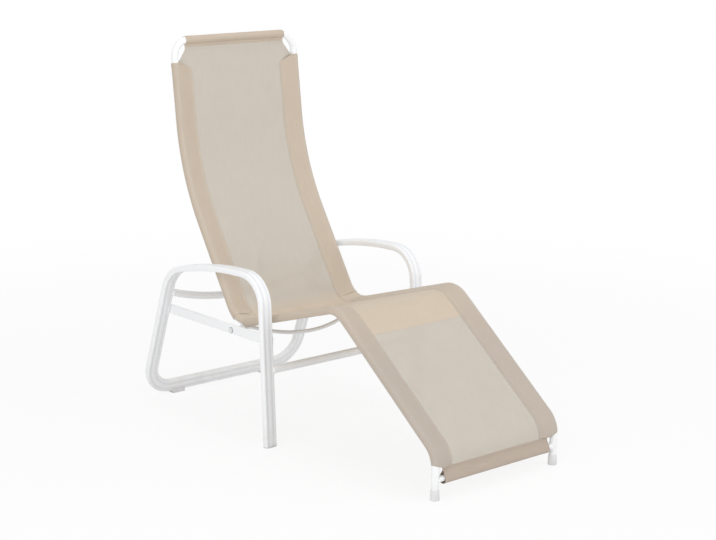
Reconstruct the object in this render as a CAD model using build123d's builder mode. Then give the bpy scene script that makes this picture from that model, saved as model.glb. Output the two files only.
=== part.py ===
# Sun lounger: a mesh sling on a bent tube seat frame, which tilts on a white arm frame.
# Millimetres. X runs across, Y from the foot end to the head end, Z up.
# The origin is on the floor in the middle of the footprint. Left and right are the sitter's.
from build123d import *
from math import acos, asin, atan, cos, degrees, hypot, radians, sin, sqrt, tan
import os

os.makedirs("parts", exist_ok=True)

# Overall sizes
overall_length = 1304.0
arm_spacing = 615.0  # between the centre lines of the two arm hoops
rail_inset = 67.5  # from an arm hoop's centre line in to the seat rail's
hoop_length = 635.06  # from the foot of the front leg to the floor runner
arm_crest_height = 511.0
head_height = 1164.0

# Clearances
running_gap = 0.3  # between flat faces that turn past each other
bush_gap = 0.06  # radial, between a pivot bolt and its bush
fit_gap = 0.1  # around a plug, cap or screw in its seat
cut_overrun = 5.0  # how far a cutting shape runs past what it cuts

# Arm tube, a fluted flat profile with its wide side up on the arm
arm_tube_width = 42.0
arm_tube_depth = 19.0
arm_tube_corner = 6.0
arm_tube_wall = 1.8
flute_spacing = 15.0
flute_radius = 2.0
flute_depth = 0.8

# Arm hoop: front leg, armrest, leaning rear upright and floor runner in one bent tube
front_leg_lean = 3.85  # degrees from upright
arm_front_rise = 2.5  # of the armrest's front corner over its crest
arm_crest_share = 0.4215  # share of the hoop's length from the front leg to the crest
arm_fall = 13.7  # degrees that the back of the armrest slopes down
upright_lean = 17.9  # degrees from upright
arm_front_radius = 92.0
arm_crest_bend_share = 0.598  # share of the armrest's front run that the crest's bend takes
arm_rear_radius = 116.0
floor_bend_radius = 90.0

# Feet of the arm hoop
leg_plug_flange = 4.0
leg_plug_insert = 24.0
leg_plug_edge = 1.0
rear_pad_height = 8.0
rear_pad_length = 48.0
rear_pad_reach = 12.0  # of the pad's cradle to each side of the runner's lowest edge
rear_pad_cheek = 14.0  # height of the cradle above the floor
rear_pad_gap = 7.0  # from the end of the floor bend to the pad
pad_screw_radius = 2.4
pad_screw_head_radius = 4.6
pad_screw_head_height = 2.6
pad_screw_length = 16.0
pad_screw_recess = 1.6

# Side braces, which carry the pivots
brace_drop = 194.0  # from the armrest's crest down to the middle of the brace
brace_height = 30.0
brace_thickness = 8.0
brace_corner = 3.0
brace_wall = 1.5
brace_end_inset = 14.0  # from the outer faces of the leg and the upright, which the ends lap
brace_plug_cap = 1.5
brace_plug_insert = 12.0

# Crossbars of the base
crossbar_radius = 12.0
crossbar_wall = 1.5
front_crossbar_drop = 83.0  # from the middle of the brace
rear_crossbar_rise = 58.0  # from the middle of the brace to where it meets the uprights
rear_crossbar_bow = 49.0

# Pivots of the seat frame
pivot_reach = 219.0  # back from the foot of the front leg
pivot_drop = 3.5  # from the middle of the brace
pivot_bolt_radius = 4.0
bolt_head_radius = 7.0
bolt_head_height = 2.4
bolt_socket_radius = 2.6
bolt_socket_depth = 1.4
bolt_thread_length = 13.0
bush_wall = 2.4
bush_flange_radius = 10.0
bush_flange_thickness = 1.5
pivot_washer_thickness = 1.0
pivot_cap_wall = 0.9
spacer_radius = 7.0

# Seat frame: one round tube bent from foot to foot over the head end
rail_radius = 11.0
rail_wall = 1.5
seat_length = 463.0  # level distance from knee to hip
seat_slope = 17.1  # degrees that the seat falls from knee to hip
hip_reach = 26.0  # of the hip's corner behind the pivot
lumbar_slope = 57.7  # degrees from level
shoulder_share = 0.508  # share of the back's height at which it bends
shoulder_slope = 82.0  # degrees from level
foot_bend_radius = 78.0
knee_radius = 80.0
hip_radius = 80.0
shoulder_bend_share = 0.3895  # share of the upper back that the shoulder's bend takes
head_corner_radius = 57.0

# Hinge lugs under the hip bend
lug_thickness = 5.0
lug_radius = 10.5
lug_flare = 3.0  # that the lug widens by on each side up to the rail
rod_clearance = 2.5  # between the spreader rod's ends and the hip bend above them

# Bowed spreader rod between the lugs
rod_radius = 6.0
rod_end_length = 12.5
rod_end_radius = 35.0
rod_bow = 58.0
rod_bow_angle = 50.0  # degrees that the bow points forward of straight down

# Foot end
ferrule_radius = 13.5
ferrule_top_radius = 12.2
ferrule_height = 31.0
ferrule_floor = 4.0
ferrule_edge = 1.5
foot_bar_radius = 9.0
foot_bar_wall = 1.2
foot_bar_clearance = 18.0  # between the crossbar and the foot caps

# Sling: mesh fabric with sewn sleeves for the rails and hems for the cross tubes
fabric_thickness = 1.2
sleeve_reach = 62.0  # from the rail's centre line to the seam
seam_band = 9.0  # where the two layers lie together
fabric_gap = 0.1  # between the fabric and the tube inside it
foot_tail = 3.0  # straight fabric below the foot bend
foot_hem_reach = 31.0  # from the foot crossbar's centre line to the hem's seam
notch_ahead = 13.0  # bare rail in front of the pivot
notch_behind = 28.0  # bare rail behind it
corner_gap = 4.0  # between the rail and the panel at the foot of each top corner
sleeve_corner_gap = 13.0  # from the bend of the top tube down to the back sleeves
top_hem_reach = 22.0
top_hem_overlap = 14.0  # how far the top hem reaches round each corner bend
corner_edge_radius = 150.0
foot_sleeve_rise = 15.0  # of the leg sleeves' slanted ends, from the hem to the outer side
foot_hem_side_gap = 17.0  # from the hem's end to the foot tube

sides = {"left": 1, "right": -1}

# Places worked out from the sizes above, the arm hoop first
arm_x = arm_spacing / 2
arm_inner_x = arm_x - arm_tube_width / 2
leg_rise = tan(radians(front_leg_lean))
upright_rise = tan(radians(upright_lean))
lean_sin = sin(radians(upright_lean))
lean_cos = cos(radians(upright_lean))
flat_half_width = arm_tube_width / 2 - arm_tube_corner
flat_half_depth = arm_tube_depth / 2 - arm_tube_corner
runner_drop = flat_half_width * lean_cos + flat_half_depth * lean_sin + arm_tube_corner
runner_back = flat_half_width * lean_sin + flat_half_depth * lean_cos + arm_tube_corner
runner_height = rear_pad_height + runner_drop
runner_station = overall_length / 2 - runner_back
front_leg_station = runner_station - hoop_length


def leg_y(height):
    """Station of the front leg's centre line at a height."""
    return front_leg_station + height * leg_rise


def upright_y(height):
    """Station of the rear upright's centre line at a height."""
    return runner_station - (height - runner_height) * upright_rise


arm_front_height = arm_crest_height + arm_front_rise
arm_crest_station = front_leg_station + arm_crest_share * hoop_length
arm_front_run = hypot(arm_crest_station - leg_y(arm_front_height), arm_front_rise)
arm_front_dip = degrees(asin(arm_front_rise / arm_front_run))
arm_crest_radius = arm_crest_bend_share * arm_front_run / tan(radians(arm_fall - arm_front_dip) / 2)

# Where the armrest's falling line meets the upright
arm_drop = tan(radians(arm_fall))
arm_rear_station = (upright_y(arm_crest_height) - upright_rise * arm_drop * arm_crest_station) / (
    1 - upright_rise * arm_drop
)
arm_rear_height = arm_crest_height - arm_drop * (arm_rear_station - arm_crest_station)

# Heights of the bars, and the pivots in the braces
brace_center_height = arm_crest_height - brace_drop
front_crossbar_height = brace_center_height - front_crossbar_drop
rear_crossbar_height = brace_center_height + rear_crossbar_rise
pivot_station = front_leg_station + pivot_reach
pivot_height = brace_center_height - pivot_drop

# Hip bend of the rails, just over the pivots. Its lowest point clears the rod's ends.
rail_x = arm_x - rail_inset
seam_x = rail_x - sleeve_reach
hip_half_angle = radians((180 - seat_slope - lumbar_slope) / 2)
hip_bisector = radians((180 - seat_slope + lumbar_slope) / 2)
hip_tangent = hip_radius / tan(hip_half_angle)
hip_station = pivot_station + hip_reach
hip_low_height = pivot_height + rod_radius + rod_clearance + rail_radius
hip_center_y = hip_station + hip_radius / sin(hip_half_angle) * cos(hip_bisector)
hip_center_z = hip_low_height + hip_radius
hip_height = hip_center_z - hip_radius / sin(hip_half_angle) * sin(hip_bisector)

# Back of the rails, from the hip up to the top tube
shoulder_height = hip_height + shoulder_share * (head_height - hip_height)
shoulder_station = hip_station + (shoulder_height - hip_height) / tan(radians(lumbar_slope))
head_station = shoulder_station + (head_height - shoulder_height) / tan(radians(shoulder_slope))
back_length = hypot(head_station - shoulder_station, head_height - shoulder_height)
shoulder_turn = radians(shoulder_slope - lumbar_slope)
shoulder_radius = shoulder_bend_share * back_length / tan(shoulder_turn / 2)
sleeve_head_gap = head_corner_radius + sleeve_corner_gap

# Legs of the rails, from the knee down to the foot bend, which they meet in a tangent
knee_station = hip_station - seat_length
knee_height = hip_height + tan(radians(seat_slope)) * seat_length
foot_station = ferrule_radius - overall_length / 2
foot_bar_height = ferrule_height + foot_bar_clearance + foot_bar_radius
sling_foot_height = foot_bar_height + foot_hem_reach
foot_bend_height = sling_foot_height + foot_tail
calf_run = knee_station - foot_station - foot_bend_radius
calf_rise = knee_height - foot_bend_height
calf_slope = degrees(atan(calf_rise / calf_run) - asin(foot_bend_radius / hypot(calf_run, calf_rise)))
ankle_height = foot_bend_height + foot_bend_radius * tan(radians(90 - calf_slope) / 2)


def hip_angle(station):
    """Angle round the hip bend's centre, from straight down, of a station on its rail."""
    return degrees(asin((station - hip_center_y) / hip_radius))


brace_outer_x = arm_inner_x
brace_inner_x = arm_inner_x - brace_thickness
bush_inner_radius = pivot_bolt_radius + bush_gap
bush_outer_radius = bush_inner_radius + bush_wall
washer_outer_x = brace_outer_x + pivot_washer_thickness
bush_flange_x = brace_inner_x - bush_flange_thickness
bolt_head_x = washer_outer_x + running_gap
spacer_outer_x = bush_flange_x - running_gap
lug_outer_x = rail_x + lug_thickness / 2
lug_inner_x = rail_x - lug_thickness / 2
clear_bore_radius = pivot_bolt_radius + running_gap


def arm_profile(wall=0.0, gap=0.0):
    """Outline of the arm tube in the current sketch, or of its bore when a wall is given."""
    shrink = 2 * (wall + gap)
    RectangleRounded(arm_tube_width - shrink, arm_tube_depth - shrink, arm_tube_corner - wall - gap)
    if wall == 0:
        flute_center = arm_tube_depth / 2 - flute_depth + flute_radius
        with Locations(
            *[
                (across * flute_spacing / 2, face * flute_center)
                for across in (-1, 1)
                for face in (-1, 1)
            ]
        ):
            Circle(flute_radius, mode=Mode.SUBTRACT)


def ring(radius, wall):
    """Round tube section in the current sketch."""
    Circle(radius)
    Circle(radius - wall, mode=Mode.SUBTRACT)


def fabric_pocket(tube_radius, reach):
    """Section of a sewn pocket round a tube, with its seam at a distance along local X."""
    inner = tube_radius + fabric_gap
    for radius, tip, half_tip, mode in (
        (inner + fabric_thickness, reach, fabric_thickness, Mode.ADD),
        (inner, reach - seam_band, 0, Mode.SUBTRACT),
    ):
        touch = acos(radius / tip)
        tangent = (radius * cos(touch), radius * sin(touch))
        with BuildSketch(mode=Mode.PRIVATE) as drop:
            Circle(radius)
            if half_tip:
                corners = [(tip, half_tip), (tip, -half_tip)]
            else:
                corners = [(tip, 0)]
            Polygon(tangent, *corners, (tangent[0], -tangent[1]), align=None)
        add(drop.sketch, mode=mode)


def save(part, name):
    """Label a finished piece and write it."""
    part.label = name
    export_step(part, f"parts/{name}.step")


# Arm hoop, from the right front foot over both arms to the left front foot
hoop_corners = [
    (leg_y(arm_front_height), arm_front_height),
    (arm_crest_station, arm_crest_height),
    (arm_rear_station, arm_rear_height),
    (runner_station, runner_height),
]
hoop_radii = [arm_front_radius, arm_crest_radius, arm_rear_radius, floor_bend_radius]
hoop_start = (leg_y(-cut_overrun), -cut_overrun)
hoop_points = [(-arm_x, y, z) for y, z in [hoop_start, *hoop_corners]]
hoop_points += [(-x, y, z) for x, y, z in reversed(hoop_points)]
pad_x = arm_x - floor_bend_radius - rear_pad_gap - rear_pad_length / 2
pad_y = runner_station + lean_sin * flat_half_width

with BuildPart() as base_hoop:
    with BuildLine() as hoop_path:
        FilletPolyline(*hoop_points, radius=hoop_radii + hoop_radii[::-1])
    hoop_line = hoop_path.wire()
    with BuildSketch(Plane(hoop_line @ 0, x_dir=(1, 0, 0), z_dir=hoop_line % 0)):
        arm_profile()
        with BuildSketch(mode=Mode.PRIVATE) as arm_bore:
            arm_profile(arm_tube_wall)
        add(arm_bore.sketch, mode=Mode.SUBTRACT)
    sweep(path=hoop_line)
    split(bisect_by=Plane.XY.offset(leg_plug_flange), keep=Keep.TOP)
    # Screw holes for the floor pads, through the runner's lower wall
    with BuildSketch(Plane.XY):
        with Locations((pad_x, pad_y), (-pad_x, pad_y)):
            Circle(pad_screw_radius + fit_gap)
    extrude(amount=pad_screw_recess + pad_screw_length + cut_overrun, mode=Mode.SUBTRACT)
save(base_hoop.part, "base_hoop")

# Plugs in the open ends of the front legs
for side, sign in sides.items():
    plug_plane = Plane((sign * arm_x, leg_y(leg_plug_flange), leg_plug_flange))
    with BuildPart() as leg_plug:
        with BuildSketch(plug_plane):
            RectangleRounded(arm_tube_width, arm_tube_depth / cos(radians(front_leg_lean)), arm_tube_corner)
        extrude(amount=-leg_plug_flange)
        chamfer(leg_plug.faces().sort_by(Axis.Z)[0].edges(), leg_plug_edge)
        with BuildSketch(plug_plane):
            arm_profile(arm_tube_wall, fit_gap)
        extrude(
            amount=leg_plug_insert,
            dir=(0, sin(radians(front_leg_lean)), cos(radians(front_leg_lean))),
        )
    save(leg_plug.part, f"front_leg_plug_{side}")

# Cradle pads that the floor runner stands on
runner_plane = Plane((0, runner_station, runner_height), x_dir=(0, lean_sin, -lean_cos), z_dir=(1, 0, 0))
for side, sign in sides.items():
    with BuildPart() as rear_pad:
        with BuildSketch(Plane.YZ.offset(sign * pad_x)):
            with Locations((pad_y, rear_pad_cheek / 2)):
                Rectangle(2 * rear_pad_reach, rear_pad_cheek)
        extrude(amount=rear_pad_length / 2, both=True)
        fillet(rear_pad.edges().filter_by(Axis.Z), leg_plug_edge * 2)
        chamfer(rear_pad.faces().sort_by(Axis.Z)[0].edges(), leg_plug_edge)
        with BuildSketch(runner_plane.offset(sign * pad_x)):
            RectangleRounded(arm_tube_width, arm_tube_depth, arm_tube_corner)
        extrude(amount=rear_pad_length, both=True, mode=Mode.SUBTRACT)
        with Locations((sign * pad_x, pad_y, pad_screw_recess)):
            Cylinder(
                pad_screw_radius + fit_gap,
                rear_pad_cheek,
                align=(Align.CENTER, Align.CENTER, Align.MIN),
                mode=Mode.SUBTRACT,
            )
        with Locations((sign * pad_x, pad_y, 0)):
            Cylinder(
                pad_screw_head_radius + fit_gap,
                pad_screw_recess + pad_screw_head_height,
                align=(Align.CENTER, Align.CENTER, Align.MIN),
                mode=Mode.SUBTRACT,
            )
    save(rear_pad.part, f"rear_pad_{side}")

with BuildPart() as rear_pad_screws:
    with BuildSketch(Plane.XY.offset(pad_screw_recess)):
        with Locations((pad_x, pad_y), (-pad_x, pad_y)):
            Circle(pad_screw_head_radius)
    extrude(amount=pad_screw_head_height)
    with BuildSketch(Plane.XY.offset(pad_screw_recess)):
        with Locations((pad_x, pad_y), (-pad_x, pad_y)):
            Circle(pad_screw_radius)
    extrude(amount=pad_screw_length)
    with BuildSketch(Plane.XY.offset(pad_screw_recess)):
        with Locations((pad_x, pad_y), (-pad_x, pad_y)):
            RegularPolygon(pad_screw_radius, 6)
    extrude(amount=pad_screw_head_height / 2, mode=Mode.SUBTRACT)
save(rear_pad_screws.part, "rear_pad_screws")

# Side braces on the inner faces of the legs and uprights, each bored for its pivot bush
brace_front = leg_y(brace_center_height) - arm_tube_depth / 2 + brace_end_inset
brace_rear = upright_y(brace_center_height) + arm_tube_depth / 2 - brace_end_inset
brace_x = (brace_outer_x + brace_inner_x) / 2
for side, sign in sides.items():
    brace_plane = Plane(
        (sign * brace_x, brace_front, brace_center_height), x_dir=(1, 0, 0), z_dir=(0, 1, 0)
    )
    with BuildPart() as side_brace:
        with BuildSketch(brace_plane):
            RectangleRounded(brace_thickness, brace_height, brace_corner)
            RectangleRounded(
                brace_thickness - 2 * brace_wall,
                brace_height - 2 * brace_wall,
                brace_corner - brace_wall,
                mode=Mode.SUBTRACT,
            )
        extrude(amount=brace_rear - brace_front)
        with BuildSketch(Plane.YZ.offset(sign * brace_x)):
            with Locations((pivot_station, pivot_height)):
                Circle(bush_outer_radius)
        extrude(amount=brace_thickness, both=True, mode=Mode.SUBTRACT)
    save(side_brace.part, f"side_brace_{side}")

with BuildPart() as brace_end_plugs:
    for sign in sides.values():
        for end, outward in ((brace_front, -1), (brace_rear, 1)):
            end_plane = Plane(
                (sign * brace_x, end, brace_center_height), x_dir=(1, 0, 0), z_dir=(0, outward, 0)
            )
            with BuildSketch(end_plane):
                RectangleRounded(brace_thickness, brace_height, brace_corner)
            extrude(amount=brace_plug_cap)
            with BuildSketch(end_plane):
                RectangleRounded(
                    brace_thickness - 2 * (brace_wall + fit_gap),
                    brace_height - 2 * (brace_wall + fit_gap),
                    brace_corner - brace_wall - fit_gap,
                )
            extrude(amount=-brace_plug_insert)
save(brace_end_plugs.part, "brace_end_plugs")

# Straight crossbar between the front legs
with BuildPart() as front_crossbar:
    with BuildSketch(Plane.YZ):
        with Locations((leg_y(front_crossbar_height), front_crossbar_height)):
            ring(crossbar_radius, crossbar_wall)
    extrude(amount=arm_inner_x, both=True)
save(front_crossbar.part, "front_crossbar")

# Bowed crossbar between the uprights, in their plane, which the reclined back rests on
bow_radius = (arm_inner_x**2 + rear_crossbar_bow**2) / (2 * rear_crossbar_bow)
bow_half_angle = degrees(asin((arm_inner_x + 2 * crossbar_radius) / bow_radius))
bow_plane = Plane(
    (0, upright_y(rear_crossbar_height), rear_crossbar_height),
    x_dir=(1, 0, 0),
    z_dir=(0, -lean_cos, -lean_sin),
)
with BuildPart() as rear_crossbar:
    with BuildLine(bow_plane) as bow_path:
        CenterArc((0, bow_radius - rear_crossbar_bow), bow_radius, 270 - bow_half_angle, 2 * bow_half_angle)
    bow_line = bow_path.wire()
    with BuildSketch(Plane(bow_line @ 0, z_dir=bow_line % 0)):
        ring(crossbar_radius, crossbar_wall)
    sweep(path=bow_line)
    split(bisect_by=Plane.YZ.offset(arm_inner_x), keep=Keep.BOTTOM)
    split(bisect_by=Plane.YZ.offset(-arm_inner_x), keep=Keep.TOP)
save(rear_crossbar.part, "rear_crossbar")

# Pivots: bush and washer on the brace, bolt, spacer and cap on the seat frame


def pivot_plane(sign, x):
    """Plane across the pivot axis at a distance from the middle, facing outwards."""
    return Plane((sign * x, pivot_station, pivot_height), x_dir=(0, 1, 0), z_dir=(sign, 0, 0))


with BuildPart() as pivot_washers:
    for sign in sides.values():
        with BuildSketch(pivot_plane(sign, brace_outer_x)):
            ring(bush_flange_radius, bush_flange_radius - bush_inner_radius)
        extrude(amount=pivot_washer_thickness)
save(pivot_washers.part, "pivot_washers")

with BuildPart() as pivot_bolts:
    for sign in sides.values():
        with BuildSketch(pivot_plane(sign, lug_inner_x - bolt_thread_length)):
            Circle(pivot_bolt_radius)
        extrude(amount=bolt_head_x - lug_inner_x + bolt_thread_length)
        with BuildSketch(pivot_plane(sign, bolt_head_x)):
            Circle(bolt_head_radius)
        extrude(amount=bolt_head_height)
        head_faces = pivot_bolts.faces().sort_by(Axis.X)
        chamfer(head_faces[-1 if sign > 0 else 0].edges(), bolt_head_height / 3)
        with BuildSketch(pivot_plane(sign, bolt_head_x + bolt_head_height)):
            RegularPolygon(bolt_socket_radius, 6)
        extrude(amount=-bolt_socket_depth, mode=Mode.SUBTRACT)
save(pivot_bolts.part, "pivot_bolts")

cap_radius = bolt_head_radius + fit_gap + pivot_cap_wall
cap_height = bolt_head_height + fit_gap + pivot_cap_wall
for side, sign in sides.items():
    with BuildPart() as pivot_bush:
        with BuildSketch(pivot_plane(sign, brace_inner_x)):
            ring(bush_outer_radius, bush_wall)
        extrude(amount=brace_thickness)
        with BuildSketch(pivot_plane(sign, bush_flange_x)):
            ring(bush_flange_radius, bush_flange_radius - bush_inner_radius)
        extrude(amount=bush_flange_thickness)
    save(pivot_bush.part, f"pivot_bush_{side}")

    with BuildPart() as pivot_cap:
        with BuildSketch(pivot_plane(sign, bolt_head_x)):
            Circle(cap_radius)
        extrude(amount=cap_height)
        fillet(pivot_cap.faces().sort_by(Axis.X)[-1 if sign > 0 else 0].edges(), cap_height / 2)
        with BuildSketch(pivot_plane(sign, bolt_head_x)):
            Circle(bolt_head_radius + fit_gap)
        extrude(amount=bolt_head_height + fit_gap, mode=Mode.SUBTRACT)
    save(pivot_cap.part, f"pivot_cap_{side}")

    with BuildPart() as pivot_spacer:
        with BuildSketch(pivot_plane(sign, lug_outer_x)):
            ring(spacer_radius, spacer_radius - clear_bore_radius)
        extrude(amount=spacer_outer_x - lug_outer_x)
    save(pivot_spacer.part, f"pivot_spacer_{side}")

    # Lug welded under the hip bend, with its top edge cut to the rail
    with BuildPart() as hinge_lug:
        with BuildSketch(Plane.YZ.offset(sign * rail_x)):
            with Locations((pivot_station, pivot_height)):
                Circle(lug_radius)
            Polygon(
                (pivot_station - lug_radius, pivot_height),
                (pivot_station + lug_radius, pivot_height),
                (pivot_station + lug_radius + lug_flare, hip_low_height),
                (pivot_station - lug_radius - lug_flare, hip_low_height),
                align=None,
            )
            with Locations((hip_center_y, hip_center_z)):
                Circle(hip_radius + rail_radius, mode=Mode.SUBTRACT)
            with Locations((pivot_station, pivot_height)):
                Circle(clear_bore_radius, mode=Mode.SUBTRACT)
        extrude(amount=lug_thickness / 2, both=True)
    save(hinge_lug.part, f"hinge_lug_{side}")

# Spreader rod, bowed down and forward out of the sitter's way, with a tapped bore in each end.
# Its middle arc and its two end bends meet in tangents.
rod_half = lug_inner_x - rod_end_length
rod_turn = 2 * atan(rod_bow / rod_half)
rod_mid_radius = rod_half / sin(rod_turn) - rod_end_radius
rod_plane = Plane(
    (0, pivot_station, pivot_height),
    x_dir=(1, 0, 0),
    z_dir=(0, -cos(radians(rod_bow_angle)), sin(radians(rod_bow_angle))),
)
with BuildPart() as spreader_rod:
    with BuildLine(rod_plane) as rod_path:
        turn = degrees(rod_turn)
        Line((-lug_inner_x, 0), (-rod_half, 0))
        CenterArc((-rod_half, -rod_end_radius), rod_end_radius, 90, -turn)
        CenterArc((0, rod_mid_radius - rod_bow), rod_mid_radius, 270 - turn, 2 * turn)
        CenterArc((rod_half, -rod_end_radius), rod_end_radius, 90 + turn, -turn)
        Line((rod_half, 0), (lug_inner_x, 0))
    rod_line = rod_path.wire()
    with BuildSketch(Plane((-lug_inner_x, pivot_station, pivot_height), z_dir=(1, 0, 0))):
        Circle(rod_radius)
    sweep(path=rod_line)
    for sign in sides.values():
        with BuildSketch(Plane((sign * lug_inner_x, pivot_station, pivot_height), z_dir=(-sign, 0, 0))):
            Circle(pivot_bolt_radius + fit_gap)
        extrude(amount=bolt_thread_length + fit_gap, mode=Mode.SUBTRACT)
save(spreader_rod.part, "spreader_rod")

# Seat frame tube, from the right foot over the head end to the left foot
rail_corners = [
    (foot_station, ankle_height),
    (knee_station, knee_height),
    (hip_station, hip_height),
    (shoulder_station, shoulder_height),
    (head_station, head_height),
]
rail_radii = [foot_bend_radius, knee_radius, hip_radius, shoulder_radius, head_corner_radius]
rail_points = [(-rail_x, y, z) for y, z in [(foot_station, ferrule_floor), *rail_corners]]
rail_points += [(-x, y, z) for x, y, z in reversed(rail_points)]
with BuildPart() as seat_frame:
    with BuildLine() as rail_path:
        FilletPolyline(*rail_points, radius=rail_radii + rail_radii[::-1])
    rail_line = rail_path.wire()
    with BuildSketch(Plane(rail_line @ 0, z_dir=rail_line % 0)):
        ring(rail_radius, rail_wall)
    sweep(path=rail_line)
save(seat_frame.part, "seat_frame")

# Cross tube between the foot tubes, coped to them
with BuildPart() as foot_crossbar:
    with BuildSketch(Plane.YZ):
        with Locations((foot_station, foot_bar_height)):
            ring(foot_bar_radius, foot_bar_wall)
    extrude(amount=rail_x, both=True)
    with BuildSketch(Plane.XY.offset(foot_bar_height)):
        with Locations((rail_x, foot_station), (-rail_x, foot_station)):
            Circle(rail_radius)
    extrude(amount=2 * foot_bar_radius, both=True, mode=Mode.SUBTRACT)
save(foot_crossbar.part, "foot_crossbar")

# Flared caps on the two feet
for side, sign in sides.items():
    ferrule_plane = Plane((sign * rail_x, foot_station, 0), x_dir=(1, 0, 0), z_dir=(0, -1, 0))
    with BuildPart() as foot_ferrule:
        with BuildSketch(ferrule_plane):
            Polygon(
                (0, 0),
                (ferrule_radius, 0),
                (ferrule_radius, ferrule_floor),
                (ferrule_top_radius, ferrule_height),
                (0, ferrule_height),
                align=None,
            )
        revolve(axis=Axis((sign * rail_x, foot_station, 0), (0, 0, 1)))
        fillet(foot_ferrule.faces().sort_by(Axis.Z)[0].edges(), ferrule_edge)
        with BuildSketch(Plane((sign * rail_x, foot_station, ferrule_floor))):
            Circle(rail_radius + fit_gap / 2)
        extrude(amount=ferrule_height, mode=Mode.SUBTRACT)
    save(foot_ferrule.part, f"foot_ferrule_{side}")

# Sleeves of the sling round the rails, with a notch at the hinge lugs
seat_tangent = (
    hip_station - hip_tangent * cos(radians(seat_slope)),
    hip_height + hip_tangent * sin(radians(seat_slope)),
)
back_tangent = (
    hip_station + hip_tangent * cos(radians(lumbar_slope)),
    hip_height + hip_tangent * sin(radians(lumbar_slope)),
)
foot_hem_end = rail_x - rail_radius - foot_hem_side_gap
foot_cut_x = rail_x + rail_radius + cut_overrun
notch_front_angle = hip_angle(pivot_station - notch_ahead)
notch_rear_angle = hip_angle(pivot_station + notch_behind)


def below_head(distance):
    """Point of the rails' centre line at a distance below the top tube, in the side view."""
    share = distance / back_length
    return (
        head_station + (shoulder_station - head_station) * share,
        head_height + (shoulder_height - head_height) * share,
    )


for side, sign in sides.items():
    rail_side = Plane.YZ.offset(sign * rail_x)
    with BuildPart() as leg_sleeve:
        with BuildLine(rail_side) as leg_path:
            FilletPolyline(
                (foot_station, sling_foot_height),
                (foot_station, ankle_height),
                (knee_station, knee_height),
                seat_tangent,
                radius=[foot_bend_radius, knee_radius],
            )
            CenterArc(
                (hip_center_y, hip_center_z),
                hip_radius,
                270 - seat_slope,
                seat_slope + notch_front_angle,
            )
        leg_line = leg_path.wire()
        with BuildSketch(Plane(leg_line @ 0, x_dir=(-sign, 0, 0), z_dir=leg_line % 0)):
            fabric_pocket(rail_radius, sleeve_reach)
        sweep(path=leg_line)
        # Slanted end, from the foot hem's end up to the outer side of the foot tube
        with BuildSketch(Plane.XZ.offset(-foot_station)):
            Polygon(
                (sign * foot_hem_end, sling_foot_height - cut_overrun),
                (sign * foot_hem_end, sling_foot_height),
                (sign * foot_cut_x, sling_foot_height + foot_sleeve_rise),
                (sign * foot_cut_x, sling_foot_height - cut_overrun),
                align=None,
            )
        extrude(amount=2 * rail_radius, both=True, mode=Mode.SUBTRACT)
    save(leg_sleeve.part, f"leg_sleeve_{side}")

    with BuildPart() as back_sleeve:
        with BuildLine(rail_side) as back_path:
            CenterArc(
                (hip_center_y, hip_center_z),
                hip_radius,
                270 + notch_rear_angle,
                lumbar_slope - notch_rear_angle,
            )
            FilletPolyline(
                back_tangent,
                (shoulder_station, shoulder_height),
                below_head(sleeve_head_gap),
                radius=[shoulder_radius],
            )
        back_line = back_path.wire()
        with BuildSketch(Plane(back_line @ 0, x_dir=(-sign, 0, 0), z_dir=back_line % 0)):
            fabric_pocket(rail_radius, sleeve_reach)
        sweep(path=back_line)
    save(back_sleeve.part, f"back_sleeve_{side}")

# Hems round the top tube and the foot crossbar. The top one follows the tube into its bends
# and is cut square across.
back_plane = Plane(
    (0, head_station, head_height),
    x_dir=(1, 0, 0),
    z_dir=(0, -sin(radians(shoulder_slope)), cos(radians(shoulder_slope))),
)
head_straight = rail_x - head_corner_radius
top_hem_end = head_straight + top_hem_overlap
hem_seam_radius = head_corner_radius - top_hem_reach
hem_seam_turn = degrees(asin(top_hem_overlap / hem_seam_radius))
hem_turn = 2 * hem_seam_turn
with BuildPart() as top_hem:
    with BuildLine(back_plane) as hem_path:
        CenterArc((-head_straight, -head_corner_radius), head_corner_radius, 90 + hem_turn, -hem_turn)
        Line((-head_straight, 0), (head_straight, 0))
        CenterArc((head_straight, -head_corner_radius), head_corner_radius, 90, -hem_turn)
    hem_line = hem_path.wire()
    hem_inwards = back_plane.x_dir * sin(radians(hem_turn)) - back_plane.y_dir * cos(radians(hem_turn))
    with BuildSketch(Plane(hem_line @ 0, x_dir=hem_inwards, z_dir=hem_line % 0)):
        fabric_pocket(rail_radius, top_hem_reach)
    sweep(path=hem_line)
    split(bisect_by=Plane.YZ.offset(top_hem_end), keep=Keep.BOTTOM)
    split(bisect_by=Plane.YZ.offset(-top_hem_end), keep=Keep.TOP)
save(top_hem.part, "top_hem")

foot_hem_plane = Plane((0, foot_station, foot_bar_height), x_dir=(0, 0, 1), z_dir=(1, 0, 0))
with BuildPart() as foot_hem:
    with BuildSketch(foot_hem_plane):
        fabric_pocket(foot_bar_radius, foot_hem_reach)
    extrude(amount=foot_hem_end, both=True)
save(foot_hem.part, "foot_hem")

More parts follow.
